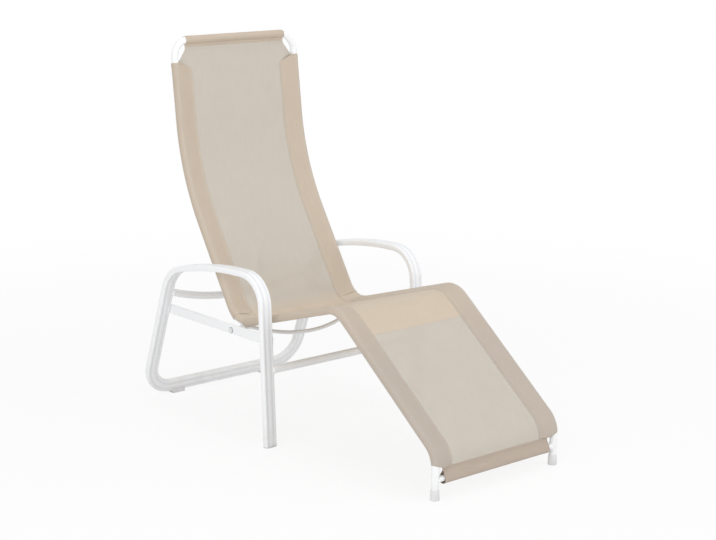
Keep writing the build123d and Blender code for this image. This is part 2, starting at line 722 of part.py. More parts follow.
# Sling panel between the sleeves, from hem to hem. In the two notches it runs on over the
# rails, and in the top corners its edge runs free, from the sleeve to the end of the hem.
rail_edge_x = rail_x - rail_radius - corner_gap
wrap_inner = rail_radius + fabric_gap
wrap_outer = wrap_inner + fabric_thickness
with BuildPart() as sling_panel:
    with BuildLine(Plane.YZ) as sling_path:
        FilletPolyline(
            (foot_station, sling_foot_height),
            (foot_station, ankle_height),
            (knee_station, knee_height),
            (hip_station, hip_height),
            (shoulder_station, shoulder_height),
            below_head(top_hem_reach),
            radius=[foot_bend_radius, knee_radius, hip_radius, shoulder_radius],
        )
    sling_line = sling_path.wire()
    with BuildSketch(Plane(sling_line @ 0, x_dir=(1, 0, 0), z_dir=sling_line % 0)):
        Rectangle(2 * seam_x, fabric_thickness)
    sweep(path=sling_line)
    with BuildLine(Plane.YZ) as notch_path:
        CenterArc(
            (hip_center_y, hip_center_z),
            hip_radius,
            270 + notch_front_angle,
            notch_rear_angle - notch_front_angle,
        )
    notch_line = notch_path.wire()
    with BuildSketch(Plane(notch_line @ 0, x_dir=(1, 0, 0), z_dir=notch_line % 0)):
        with Locations((rail_x, 0), (-rail_x, 0)):
            Circle(wrap_outer)
            Circle(wrap_inner, mode=Mode.SUBTRACT)
        with Locations((0, fabric_thickness / 2)):
            Rectangle(
                2 * (rail_x + wrap_outer),
                wrap_outer,
                align=(Align.CENTER, Align.MIN),
                mode=Mode.SUBTRACT,
            )
        Rectangle(2 * (rail_x - wrap_inner), fabric_thickness)
    sweep(path=notch_line)
    for sign in sides.values():
        with BuildSketch(back_plane):
            with BuildLine():
                Polyline(
                    (sign * head_straight, -top_hem_reach),
                    (0, -top_hem_reach),
                    (0, -sleeve_head_gap),
                    (sign * rail_edge_x, -sleeve_head_gap),
                )
                seam = CenterArc(
                    (sign * head_straight, -head_corner_radius),
                    hem_seam_radius,
                    90,
                    -sign * hem_seam_turn,
                )
                RadiusArc((sign * rail_edge_x, -sleeve_head_gap), seam @ 1, -sign * corner_edge_radius)
            make_face()
        extrude(amount=fabric_thickness / 2, both=True)
save(sling_panel.part, "sling_panel")
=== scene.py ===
"""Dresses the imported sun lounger: a mesh sling on a bent tube seat frame over a white arm frame.

Metres throughout. X runs across, Y from the foot end to the head end, Z up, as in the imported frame.
"""

import logging
from dataclasses import dataclass, field, replace
from enum import Enum
from functools import cache
from math import acos, atan, ceil, cos, hypot, pi, radians, sin, sqrt, tan
from typing import ClassVar, Mapping, Sequence

import bpy
import numpy as np
from mathutils import Matrix


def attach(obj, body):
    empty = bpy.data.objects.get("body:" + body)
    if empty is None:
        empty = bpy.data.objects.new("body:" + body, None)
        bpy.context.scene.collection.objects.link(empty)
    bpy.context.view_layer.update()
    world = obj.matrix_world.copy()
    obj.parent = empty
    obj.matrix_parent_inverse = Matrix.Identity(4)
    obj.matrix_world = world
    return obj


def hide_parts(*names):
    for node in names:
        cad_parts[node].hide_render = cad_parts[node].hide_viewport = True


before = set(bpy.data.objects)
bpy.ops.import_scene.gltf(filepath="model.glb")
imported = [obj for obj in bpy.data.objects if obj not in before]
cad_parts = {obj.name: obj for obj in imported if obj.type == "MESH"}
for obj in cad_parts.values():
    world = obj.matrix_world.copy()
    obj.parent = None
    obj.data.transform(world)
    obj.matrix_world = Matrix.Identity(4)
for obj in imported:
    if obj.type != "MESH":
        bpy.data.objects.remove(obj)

Array = np.ndarray
Color = tuple[float, ...]
Material = bpy.types.Material
Pair = tuple[float, float]
Socket = bpy.types.NodeSocket
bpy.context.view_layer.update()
ACROSS = (1.0, 0.0, 0.0)
AHEAD = (0.0, 1.0, 0.0)
ARC_STEP = radians(2.5)
FINE_STEP = radians(1)
SHARP_EDGE = radians(32)
log = logging.getLogger("sun_lounger")


class Body(Enum):
    """The two bodies that the pivots join."""

    BASE = "base"
    LOUNGER = "lounger"


class Slot(Enum):
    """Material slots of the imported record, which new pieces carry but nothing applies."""

    FRAME = "frame_white"
    MESH = "sling_mesh"
    DOUBLE = "sling_double"


class Side(Enum):
    """The sitter's sides, with the sign of X on each."""

    LEFT = 1
    RIGHT = -1

    @property
    def word(self) -> str:
        """The side's name in lower case, as the nodes have it."""
        return self.name.lower()


# Surfaces worked out as whole arrays


@dataclass
class Line:
    """A centre line as whole arrays, with a section's first axis carried along it."""

    points: Array
    along: Array
    side: Array

    @property
    def up(self) -> Array:
        """The section's second axis at each point."""
        return np.cross(self.along, self.side)

    @property
    def length(self) -> Array:
        """Distance from the start at each point."""
        steps = np.linalg.norm(np.diff(self.points, axis=0), axis=1)
        return np.concatenate([[0.0], np.cumsum(steps)])

    @property
    def total(self) -> float:
        """The whole line's length."""
        return float(self.length[-1])

    def at(self, distances: Array) -> "Line":
        """The line's points and axes at given distances from its start.

        Args:
            distances: Distances, in an array of any shape.

        Returns:
            A line whose arrays have that shape, and X, Y and Z besides.
        """
        length = self.length
        points, along, side = (
            np.stack([np.interp(distances, length, values[:, axis]) for axis in range(3)], axis=-1)
            for values in (self.points, self.along, self.side)
        )
        return Line(points, unit(along), unit(side))


@dataclass
class Patch:
    """Points and four-sided faces, each face corner's place on the cloth and each point's tone."""

    points: Array
    quads: Array
    cloth: Array
    tone: Array

    def mirrored(self) -> "Patch":
        """The patch on the other side of the middle plane, its faces still outwards."""
        cloth = self.cloth.reshape(-1, 4, 2)[:, ::-1].reshape(-1, 2)
        return Patch(self.points * (-1, 1, 1), self.quads[:, ::-1], cloth, self.tone)


def unit(vectors: Array) -> Array:
    """Vectors over their own lengths."""
    return vectors / np.linalg.norm(vectors, axis=-1, keepdims=True)


def step(value: Array, start: float, end: float) -> Array:
    """A smooth step, 3 t^2 - 2 t^3, from 0 at start to 1 at end."""
    share = np.clip((value - start) / (end - start), 0, 1)
    return share * share * (3 - 2 * share)


def turned(vector: Array, axis: Array, angles: Array) -> Array:
    """A vector turned about an axis, v cos a + (axis x v) sin a + axis (axis . v)(1 - cos a).

    Args:
        vector: The vector before it turns.
        axis: Unit axis through the origin.
        angles: Angles in radians.

    Returns:
        One turned vector for each angle.
    """
    turn = np.asarray(angles)[:, None]
    keep = axis * np.dot(axis, vector)
    return vector * np.cos(turn) + np.cross(axis, vector) * np.sin(turn) + keep * (1 - np.cos(turn))


def bent_line(
    corners: Sequence[Sequence[float]],
    side: Sequence[float],
    radii: Sequence[float] = (),
    arc_step: float = ARC_STEP,
) -> Line:
    """Centre line of a bent tube: straight runs joined by an arc at each inner corner.

    At a corner that turns by t, the arc starts radius times tan(t / 2) before it. The section's
    first axis turns with the line and never about it.

    Args:
        corners: Corners of the line, its two ends among them.
        side: The section's first axis at the start, square to the line.
        radii: Radius of the arc at each inner corner.
        arc_step: Largest angle between two points of an arc.

    Returns:
        The line, with a point at each end of every run and along every arc.
    """
    places = np.asarray(corners, float)
    runs = unit(np.diff(places, axis=0))
    first = np.asarray(side, float)
    parts = [(places[:1], runs[:1], first[None])]
    for corner, before, after, radius in zip(places[1:-1], runs[:-1], runs[1:], radii):
        turn = acos(float(np.clip(before @ after, -1, 1)))
        axis = unit(np.cross(before, after))
        inwards = np.cross(axis, before) * radius
        angles = np.linspace(0, turn, max(ceil(turn / arc_step), 2) + 1)
        center = corner - before * radius * tan(turn / 2) + inwards
        vectors = (turned(vector, axis, angles) for vector in (-inwards, before, first))
        points, along, sides = vectors
        parts.append((center + points, along, sides))
        first = sides[-1]
    parts.append((places[-1:], runs[-1:], first[None]))
    return Line(*(np.concatenate(column) for column in zip(*parts)))


def arched_line(
    half: float, corners: Sequence[Pair], radii: tuple[float, ...], arc_step: float = ARC_STEP
) -> Line:
    """Centre line of a tube that is bent alike on both sides.

    Args:
        half: Half the distance between its sides.
        corners: Corners of the side view, from the right end to the middle.
        radii: Radius of the arc at each corner but the first.
        arc_step: Largest angle between two points of an arc.

    Returns:
        The line from its right end over the middle to its left end.
    """
    right = [(-half, *corner) for corner in corners]
    left = [(half, *corner) for corner in corners[::-1]]
    return bent_line(right + left, ACROSS, radii + radii[::-1], arc_step)


def cross_line(half: float, center: Pair, side: Sequence[float] = AHEAD) -> Line:
    """A straight line across the middle, at a station and a height."""
    return bent_line([(x, *center) for x in (-half, half)], side)


def arc_points(center: Sequence[float], radius: float, start: float, end: float, count: int) -> Array:
    """Points of a flat arc, center + radius (cos a, sin a), with a in degrees from start to end."""
    angles = np.radians(np.linspace(start, end, count))
    return np.asarray(center) + radius * np.stack([np.cos(angles), np.sin(angles)], axis=1)


def round_section(radius: float, count: int = 40) -> Array:
    """Outline of a round tube, counter-clockwise."""
    return arc_points((0, 0), radius, 0, 360 * (1 - 1 / count), count)


def bar_section(
    width: float, depth: float, corner: float, count: int = 8, between: Sequence[Array] = ()
) -> Array:
    """Outline of a flat bar with round corners, wide along its first axis.

    Args:
        width: Across the wide faces.
        depth: Between the wide faces.
        corner: Radius of the corners.
        count: Points of each corner.
        between: Points of a wide face, from its right corner to its left one.

    Returns:
        The outline, counter-clockwise.
    """
    x, y = width / 2 - corner, depth / 2 - corner
    right, left = arc_points((x, y), corner, 0, 90, count), arc_points((-x, y), corner, 90, 180, count)
    half = np.concatenate([right, *between, left])
    return np.concatenate([half, -half])


def grid_patch(
    points: Array,
    closed: bool,
    cloth: Array | None = None,
    looped: bool = False,
    tone: Array | float = 0.0,
) -> Patch:
    """Faces between the points of a grid.

    Args:
        points: Grid of points, rows along the path and columns round the section.
        closed: Whether the last column joins the first.
        cloth: Place on the cloth of each grid point, with one column more where it is closed.
        looped: Whether the last row joins the first.
        tone: Tone of each grid point, or one for all.

    Returns:
        A patch whose faces look away from a section that runs counter-clockwise.
    """
    rows, columns = points.shape[:2]
    if cloth is None:
        cloth = np.zeros((rows + 1, columns + 1, 2))
    row = np.arange(rows if looped else rows - 1)[:, None]
    column = np.arange(columns if closed else columns - 1)[None, :]
    after = (column + 1) % columns
    here, ahead = row * columns, (row + 1) % rows * columns
    quads = np.stack([here + column, here + after, ahead + after, ahead + column], axis=-1)
    places = [cloth[row + down, column + on] for down, on in ((0, 0), (0, 1), (1, 1), (1, 0))]
    corners = np.stack(places, axis=2).reshape(-1, 2)
    tones = np.broadcast_to(tone, (rows, columns)).ravel()
    return Patch(points.reshape(-1, 3), quads.reshape(-1, 4), corners, tones)


def carried(
    line: Line,
    section: Array,
    closed: bool = True,
    distances: Array | None = None,
    tone: Array | float = 0.0,
) -> Patch:
    """A section carried along a line: point + u times the first axis + v times the second.

    Args:
        line: The centre line.
        section: Outline of (u, v), either one for the whole surface or one for each row.
        closed: Whether the outline closes on itself.
        distances: Grid of distances along the line, where the surface's ends aren't square to it.
        tone: Tone of each grid point, of each column, or one for all.

    Returns:
        The surface, with distance round the outline and along the line as its place on the cloth.
    """
    if distances is None:
        distances = np.broadcast_to(line.length[:, None], (len(line.points), section.shape[-2]))
    place = line.at(distances)
    ring, run = np.broadcast_to(section, (*distances.shape, 2)), distances
    points = place.points + ring[..., :1] * place.side + ring[..., 1:] * place.up
    if closed:
        ring, run = (np.concatenate([grid, grid[:, :1]], axis=1) for grid in (ring, run))
    steps = np.linalg.norm(np.diff(ring, axis=1), axis=-1)
    around = np.concatenate([np.zeros((len(ring), 1)), np.cumsum(steps, axis=1)], axis=1)
    return grid_patch(points, closed, np.stack([around, run], axis=-1), tone=tone)


def weld_ring(
    center: Sequence[float],
    first: Sequence[float],
    second: Sequence[float],
    size: float,
    saddle: float = 0.0,
) -> Patch:
    """Weld bead round the end of a tube.

    Its middle runs along center + cos t first + sin t second, and its radius there is
    size (1 + 0.14 cos k t), one ripple for each 1.8 sizes. Against a round tube it also sinks by
    R - sqrt(R^2 - (|first| cos t)^2), where R is that tube's radius.

    Args:
        center: Middle of the ring.
        first: One half axis of the ring, square to the round tube's length if there is one.
        second: The other half axis, so that first x second points along the welded tube.
        size: Radius of the bead.
        saddle: Radius of the round tube that it is welded to, or 0 for a flat face.

    Returns:
        A closed surface.
    """
    ripple_height, ripple_length, ripple_rows, sides = 0.14, 1.8, 8, 10
    first, second = np.asarray(first, float), np.asarray(second, float)
    width = np.linalg.norm(first)
    ripples = round(2 * pi * width / (ripple_length * size))
    turn = np.linspace(0, 2 * pi, ripple_rows * ripples, endpoint=False)[:, None, None]
    around = np.linspace(0, 2 * pi, sides, endpoint=False)[None, :, None]
    middle = np.cos(turn) * first + np.sin(turn) * second
    outwards, axis = unit(middle), unit(np.cross(first, second))
    sink = saddle - np.sqrt(max(saddle, width) ** 2 - (width * np.cos(turn)) ** 2) if saddle else 0.0
    swell = size * (1 + ripple_height * np.cos(ripples * turn))
    points = center + middle + outwards * swell * np.sin(around) + axis * (swell * np.cos(around) - sink)
    return grid_patch(points, closed=True, looped=True)


def thread_row(places: Array, along: Array, normal: Array, size: Sequence[float]) -> Patch:
    """Stitches of a seam, each a flattened spindle that lies on the cloth.

    With s from -1 to 1 along a stitch and a round it, a point is at place + s L / 2 along it,
    W / 2 sqrt(1 - s^2) cos a across it and H sqrt(1 - s^2) sin a off the cloth.

    Args:
        places: Middle of each stitch.
        along: Its direction.
        normal: The direction off the cloth.
        size: Length, width and height.

    Returns:
        All the stitches as one patch of closed spindles, their ends blunt.
    """
    rings, sides, blunt_at = 5, 6, 0.95
    reach = np.linspace(-blunt_at, blunt_at, rings)[:, None, None]
    angle = np.linspace(0, 2 * pi, sides, endpoint=False)[None, :, None]
    swell = np.sqrt(1 - reach**2)
    across = np.cross(normal, along)
    lengthwise, sideways, off = (axes[:, None, None] for axes in (along, across, normal))
    points = (
        places[:, None, None]
        + lengthwise * reach * size[0] / 2
        + sideways * swell * np.cos(angle) * size[1] / 2
        + off * swell * np.sin(angle) * size[2]
    )
    one = grid_patch(points[0], closed=True)
    lid = np.array([[0, 1, 2, 3], [0, 3, 4, 5]])
    quads = np.concatenate([one.quads, lid[:, ::-1], lid + (rings - 1) * sides])
    starts = np.arange(len(places))[:, None, None] * len(one.points)
    flat = points.reshape(-1, 3)
    cloth = np.zeros((len(places) * quads.size, 2))
    return Patch(flat, (quads + starts).reshape(-1, 4), cloth, np.zeros(len(flat)))


def joined(patches: Sequence[Patch]) -> Patch:
    """Several patches as one, their points counted on from each other."""
    starts = np.cumsum([0] + [len(patch.points) for patch in patches[:-1]])
    quads = [patch.quads + start for patch, start in zip(patches, starts)]
    rows = [(patch.points, moved, patch.cloth, patch.tone) for patch, moved in zip(patches, quads)]
    return Patch(*(np.concatenate(column) for column in zip(*rows)))


# Finishes and the shader groups that they share


def linear(*levels: int) -> Color:
    """A colour from its levels out of 255, as the light that the shader works in."""
    shares = [level / 255 for level in levels]
    light = [s / 12.92 if s <= 0.04045 else ((s + 0.055) / 1.055) ** 2.4 for s in shares]
    return *light, 1.0


class Wiring:
    """Adds nodes to one shader tree and joins their sockets."""

    def __init__(self, tree: bpy.types.NodeTree) -> None:
        """Keep the tree that nodes go into."""
        self.tree = tree

    def add(self, kind: str, **settings: object) -> bpy.types.Node:
        """A new node with its settings."""
        node = self.tree.nodes.new(kind)
        for name, value in settings.items():
            setattr(node, name, value)
        return node

    def feed(self, socket: Socket, value: object) -> None:
        """Join a socket to another one, or set its value."""
        if isinstance(value, Socket):
            self.tree.links.new(value, socket)
        else:
            socket.default_value = value

    def fill(self, node: bpy.types.Node, values: Mapping[str | int, object]) -> Mapping[str, Socket]:
        """Feed a node's inputs by name or place, and give its outputs."""
        for key, value in values.items():
            self.feed(node.inputs[key], value)
        return node.outputs

    def math(self, operation: str, *values: object, clamp: bool = False) -> Socket:
        """Result of a Math node on sockets or numbers."""
        node = self.add("ShaderNodeMath", operation=operation, use_clamp=clamp)
        return self.fill(node, dict(enumerate(values)))[0]

    def times(self, first: object, second: object) -> Socket:
        """A product."""
        return self.math("MULTIPLY", first, second)

    def slope(self, value: object, rise: object, start: object, clamp: bool = False) -> Socket:
        """Start plus rise times a value."""
        return self.math("MULTIPLY_ADD", value, rise, start, clamp=clamp)

    def fade(self, value: object, start: float, end: float) -> Socket:
        """A smooth step from 0 at start to 1 at end."""
        node = self.add("ShaderNodeMapRange", interpolation_type="SMOOTHSTEP")
        return self.fill(node, {"Value": value, "From Min": start, "From Max": end})["Result"]

    def blend(self, share: object, first: object, second: object) -> Socket:
        """First colour turning to the second by a share."""
        node = self.add("ShaderNodeMix", data_type="RGBA")
        return self.fill(node, {0: share, 6: first, 7: second})[2]

    def noise(self, place: object, scale: object, detail: float = 2.0) -> Socket:
        """Noise from 0 to 1 at a place."""
        node = self.add("ShaderNodeTexNoise")
        return self.fill(node, {"Vector": place, "Scale": scale, "Detail": detail})["Fac"]

    def axis(self, place: object, name: str) -> Socket:
        """One axis of a place."""
        return self.fill(self.add("ShaderNodeSeparateXYZ"), {0: place})[name]

    def group(self, tree: bpy.types.NodeTree, **values: object) -> Mapping[str, Socket]:
        """Outputs of a shader group placed in this tree, an underscore standing for a space."""
        node = self.add("ShaderNodeGroup", node_tree=tree)
        return self.fill(node, {name.replace("_", " "): value for name, value in values.items()})


def shader_group(
    name: str, inputs: Mapping[str, object], *outputs: str
) -> tuple[Wiring, Mapping[str, Socket], Mapping[str, Socket]]:
    """An empty shader group with named inputs and outputs.

    Args:
        name: The group's name.
        inputs: Each input's name and value, a number or a place of three.
        outputs: Names of the outputs, all numbers.

    Returns:
        The group's wiring, its inputs as sockets to read and its outputs as sockets to feed.
    """
    tree = bpy.data.node_groups.new(name, "ShaderNodeTree")
    for key, value in inputs.items():
        kind = "NodeSocketVector" if isinstance(value, tuple) else "NodeSocketFloat"
        tree.interface.new_socket(key, in_out="INPUT", socket_type=kind).default_value = value
    for key in outputs:
        tree.interface.new_socket(key, in_out="OUTPUT", socket_type="NodeSocketFloat")
    wires = Wiring(tree)
    return wires, wires.add("NodeGroupInput").outputs, wires.add("NodeGroupOutput").inputs


@cache
def grain_group() -> bpy.types.NodeTree:
    """Height of a fine pebbled surface, such as powder coat or moulded plastic.

    It is a coarse noise of the given grain plus a third of one three times finer.
    """
    given = {"Place": (0.0, 0.0, 0.0), "Grain": 0.001}
    wires, given, result = shader_group("Fine grain", given, "Height")
    finer, share = 3.1, 0.33
    scale = wires.math("DIVIDE", 1.0, given["Grain"])
    coarse = wires.noise(given["Place"], scale, 1.0)
    fine = wires.noise(given["Place"], wires.times(scale, finer), 1.0)
    wires.feed(result["Height"], wires.slope(fine, share, coarse))
    return wires.tree


@cache
def wear_group() -> bpy.types.NodeTree:
    """Masks of use: dust that gathers near the floor, and scuffs broken up by noise."""
    given = {"Place": (0.0, 0.0, 0.0), "Dust height": 0.12, "Scuff size": 0.02}
    wires, given, result = shader_group("Use and dust", given, "Dust", "Scuff")
    clouds, cloud_edges, scuff_edges = 24.0, (0.3, 0.7), (0.62, 0.74)
    height = wires.math("DIVIDE", wires.axis(given["Place"], "Z"), given["Dust height"])
    low = wires.math("SUBTRACT", 1.0, height, clamp=True)
    cloud = wires.fade(wires.noise(given["Place"], clouds, 3.0), *cloud_edges)
    wires.feed(result["Dust"], wires.times(wires.times(low, low), cloud))
    marks = wires.noise(given["Place"], wires.math("DIVIDE", 1.0, given["Scuff size"]), 4.0)
    wires.feed(result["Scuff"], wires.fade(marks, *scuff_edges))
    return wires.tree


@cache
def weave_group() -> bpy.types.NodeTree:
    """Plain weave of coated yarns, from a place on the cloth in metres.

    With p = pi u / pitch and q = pi v / pitch, a warp yarn's round back is |sin p| and a weft's
    is |sin q|. Their product sin p sin q changes sign at each crossing, which lifts one over the
    other, and an eye opens where both are low.
    """
    given = {"Cloth": (0.0, 0.0, 0.0), "Pitch": 0.0013}
    wires, given, result = shader_group("Coated weave", given, "Height", "Eye", "Slub")
    back, lift, soft, eye_edges = 0.65, 0.35, 0.08, (0.3, 0.52)
    slubs, drawn_out = 420.0, (1.0, 0.04, 1.0)
    turn = wires.math("DIVIDE", pi, given["Pitch"])
    warp, weft = (wires.math("SINE", wires.times(wires.axis(given["Cloth"], key), turn)) for key in "XY")
    over = wires.times(wires.times(warp, weft), lift)
    warp_back, weft_back = (wires.math("ABSOLUTE", yarn) for yarn in (warp, weft))
    warp_top = wires.times(warp_back, wires.math("ADD", over, back))
    weft_top = wires.times(weft_back, wires.math("SUBTRACT", back, over))
    wires.feed(result["Height"], wires.math("SMOOTH_MAX", warp_top, weft_top, soft))
    nearest = wires.math("MAXIMUM", warp_back, weft_back)
    wires.feed(result["Eye"], wires.math("SUBTRACT", 1.0, wires.fade(nearest, *eye_edges)))
    place = {"Vector": given["Cloth"], "Scale": drawn_out}
    stretched = wires.fill(wires.add("ShaderNodeMapping"), place)["Vector"]
    wires.feed(result["Slub"], wires.noise(stretched, slubs))
    return wires.tree


class Surface:
    """A material being wired: its tree, its Principled shader and where it reads places."""

    def __init__(self, name: str, cloth: bool = False) -> None:
        """Start a material that reads Object coordinates, or places on its cloth."""
        self.material = bpy.data.materials.new(name)
        self.material.use_nodes = True
        self.wires = Wiring(self.material.node_tree)
        self.shader = self.material.node_tree.nodes["Principled BSDF"]
        if cloth:
            self.place = self.wires.add("ShaderNodeUVMap", uv_map="Cloth").outputs["UV"]
        else:
            self.place = self.wires.add("ShaderNodeTexCoord").outputs["Object"]

    def tone(self) -> Socket:
        """The tone that the mesh's points carry."""
        return self.wires.add("ShaderNodeAttribute", attribute_name="Tone").outputs["Fac"]

    def set(self, **values: object) -> None:
        """Feed the shader's sockets, an underscore in a name standing for a space."""
        self.wires.fill(self.shader, {name.replace("_", " "): value for name, value in values.items()})

    def bump(self, height: Socket, depth: float, strength: float) -> None:
        """Let a height tilt the shader's normal."""
        inputs = {"Strength": strength, "Distance": depth, "Height": height}
        self.set(Normal=self.wires.fill(self.wires.add("ShaderNodeBump"), inputs)["Normal"])

    def grain(self, size: float) -> Socket:
        """Height of the fine grain at this surface's places."""
        return self.wires.group(grain_group(), Place=self.place, Grain=size)["Height"]


@dataclass(frozen=True)
class PowderCoat:
    """Satin powder coat: a fine orange peel, dust near the floor, painted shade in the flutes, a few
    scuffs.

    Its painted flute shade and its roughness are each a rise with the clouds and a start.
    """

    name: str = "satin_white_powder_coat"
    color: Color = linear(250, 251, 252)
    dusty: Color = linear(222, 219, 213)
    # Painted shade: a bluish grey laid into the flutes, where shade falls.
    painted_flute_shade: Color = linear(231, 234, 239)
    dust: float = 0.5
    scuffs: float = 0.1
    clouds: float = 9.0
    flute_shade_clouds: Pair = (0.5, 0.55)
    rough: Pair = (0.14, 0.36)
    rough_marks: float = 0.3
    peel: float = 0.0016
    depth: float = 0.00006
    bump: float = 0.6

    def make(self) -> Material:
        """Wire the coat and give its material."""
        surface = Surface(self.name)
        wires = surface.wires
        use = wires.group(wear_group(), Place=surface.place)
        marked = wires.slope(use["Scuff"], self.scuffs, wires.times(use["Dust"], self.dust))
        cloud = wires.noise(surface.place, self.clouds)
        # Painted shade in the flutes: the hoop's tone, broken up by clouds.
        sunk = wires.times(surface.tone(), wires.slope(cloud, *self.flute_shade_clouds, clamp=True))
        coat = wires.blend(marked, self.color, self.dusty)
        rough = wires.slope(marked, self.rough_marks, wires.slope(cloud, *self.rough))
        surface.set(Base_Color=wires.blend(sunk, coat, self.painted_flute_shade), Roughness=rough, IOR=1.5)
        surface.bump(surface.grain(self.peel), self.depth, self.bump)
        return surface.material


@dataclass(frozen=True)
class CoatedMesh:
    """Woven coated yarn, thin and pale where its tone is 0, close and full where it is 1.

    Its roughness is a rise with the weave's height and a start, its sheen a weight and a roughness.
    """

    name: str
    pale: Color
    color: Color
    shade: Color
    thin: float = 0.94
    dense: float = 0.985
    open_eye: float = 0.05
    # Share of painted shade that darkens the cloth towards the foot end of its length.
    worn: float = 0.0
    shade_along: Pair = (0.66, 0.34)
    soil_and_shade: Color = linear(186, 177, 168)
    pitch: float = 0.0013
    clouds: float = 14.0
    cloud_share: float = 0.3
    mottle_edges: Pair = (0.3, 0.72)
    mottle: float = 0.14
    eye_shade: float = 0.3
    rough: Pair = (-0.15, 0.68)
    sheen: Pair = (0.1, 0.5)
    depth: float = 0.0003
    bump: float = 0.35

    def make(self) -> Material:
        """Wire the mesh and give its material."""
        surface = Surface(self.name, cloth=True)
        wires, tone = surface.wires, surface.tone()
        weave = wires.group(weave_group(), Cloth=surface.place, Pitch=self.pitch)
        full = wires.blend(tone, self.pale, self.color)
        # Painted shade, darker towards the foot end of the cloth's length.
        if self.worn:
            shade_toward_foot = wires.fade(wires.axis(surface.place, "Y"), *self.shade_along)
            full = wires.blend(wires.times(shade_toward_foot, self.worn), full, self.soil_and_shade)
        cloud = wires.times(wires.noise(surface.place, self.clouds, 3.0), self.cloud_share)
        mottle = wires.slope(weave["Slub"], 1 - self.cloud_share, cloud)
        mottled = wires.times(wires.fade(mottle, *self.mottle_edges), self.mottle)
        yarn = wires.blend(mottled, full, self.shade)
        cover = wires.slope(tone, self.dense - self.thin, self.thin)
        surface.set(
            Base_Color=wires.blend(wires.times(weave["Eye"], self.eye_shade), yarn, self.shade),
            Alpha=wires.slope(weave["Eye"], -self.open_eye, cover),
            Roughness=wires.slope(weave["Height"], *self.rough),
            IOR=1.4,
            Sheen_Weight=self.sheen[0],
            Sheen_Roughness=self.sheen[1],
        )
        surface.bump(weave["Height"], self.depth, self.bump)
        return surface.material


@dataclass(frozen=True)
class SewingThread:
    """Twisted thread: a fine grain, a little glossier than the mesh.

    Its roughness is a rise with the grain and a start.
    """

    name: str = "sewing_thread"
    color: Color = linear(216, 203, 186)
    shade: Color = linear(176, 158, 136)
    ply: float = 0.0004
    lit_edges: Pair = (0.4, 1.0)
    rough: Pair = (-0.1, 0.6)
    depth: float = 0.0001
    bump: float = 0.5

    def make(self) -> Material:
        """Wire the thread and give its material."""
        surface = Surface(self.name)
        wires, grain = surface.wires, surface.grain(self.ply)
        lit = wires.fade(grain, *self.lit_edges)
        rough = wires.slope(grain, *self.rough)
        surface.set(Base_Color=wires.blend(lit, self.shade, self.color), Roughness=rough, IOR=1.5)
        surface.bump(grain, self.depth, self.bump)
        return surface.material


@dataclass(frozen=True)
class MouldedPlastic:
    """Moulded plastic with a fine spark-eroded grain, rubbed a little near the floor."""

    name: str
    color: Color
    rough: float = 0.48
    rough_spread: float = 0.12
    soil_and_shade: Color = linear(188, 182, 172)
    soil_height: float = 0.04
    soil_share: float = 0.6
    grain: float = 0.0007
    depth: float = 0.00005
    bump: float = 0.5

    def make(self) -> Material:
        """Wire the plastic and give its material."""
        surface = Surface(self.name)
        wires, grain = surface.wires, surface.grain(self.grain)
        use = wires.group(wear_group(), Place=surface.place, Dust_height=self.soil_height)
        color = wires.blend(wires.times(use["Dust"], self.soil_share), self.color, self.soil_and_shade)
        rough = wires.slope(grain, self.rough_spread, self.rough - self.rough_spread / 2)
        surface.set(Base_Color=color, Roughness=rough, IOR=1.47)
        surface.bump(grain, self.depth, self.bump)
        return surface.material


@dataclass(frozen=True)
class ZincSteel:
    """Zinc-plated steel, bright with a faint spangle and duller patches.

    Its roughness is a rise with the clouds and a start.
    """

    name: str = "zinc_plated_steel"
    color: Color = linear(196, 198, 201)
    shade: Color = linear(168, 170, 176)
    spangle: float = 700.0
    clouds: float = 160.0
    rough: Pair = (0.2, 0.24)
    depth: float = 0.00002
    bump: float = 0.3

    def make(self) -> Material:
        """Wire the steel and give its material."""
        surface = Surface(self.name)
        wires = surface.wires
        grid = {"Vector": surface.place, "Scale": self.spangle}
        cells = wires.fill(wires.add("ShaderNodeTexVoronoi"), grid)
        cloud = wires.noise(surface.place, self.clouds, 3.0)
        tone = wires.times(cells["Distance"], cloud)
        color = wires.blend(tone, self.color, self.shade)
        surface.set(Base_Color=color, Metallic=1.0, Roughness=wires.slope(cloud, *self.rough))
        surface.bump(tone, self.depth, self.bump)
        return surface.material


@dataclass(frozen=True)
class StudioFloor:
    """A floor that the camera sees as almost white, wholly white far off, with a soft shadow."""

    name: str = "studio_floor"
    glow: float = 0.86
    near: float = 1.0
    far: float = 3.4
    color: Color = linear(248, 248, 248)

    def make(self) -> Material:
        """Wire the floor and give its material."""
        surface = Surface(self.name)
        wires = surface.wires
        surface.set(Base_Color=self.color, Roughness=0.9, Specular_IOR_Level=0.0)
        white = wires.fill(wires.add("ShaderNodeEmission"), {"Strength": 1.0})[0]
        length = wires.add("ShaderNodeVectorMath", operation="LENGTH")
        away = wires.fade(wires.fill(length, {0: surface.place})["Value"], self.near, self.far)
        share = wires.slope(away, 1 - self.glow, self.glow)
        inputs = {0: wires.times(white_rays(wires), share), 1: surface.shader.outputs[0], 2: white}
        mixed = wires.fill(wires.add("ShaderNodeMixShader"), inputs)[0]
        wires.feed(surface.material.node_tree.nodes["Material Output"].inputs["Surface"], mixed)
        return surface.material


def white_rays(wires: Wiring) -> Socket:
    """1 for the rays that see the surroundings as white: the camera's, mirrored and refracted."""
    rays = wires.add("ShaderNodeLightPath").outputs
    seen = wires.math("MAXIMUM", rays["Is Camera Ray"], rays["Is Glossy Ray"])
    return wires.math("MAXIMUM", seen, rays["Is Transmission Ray"])


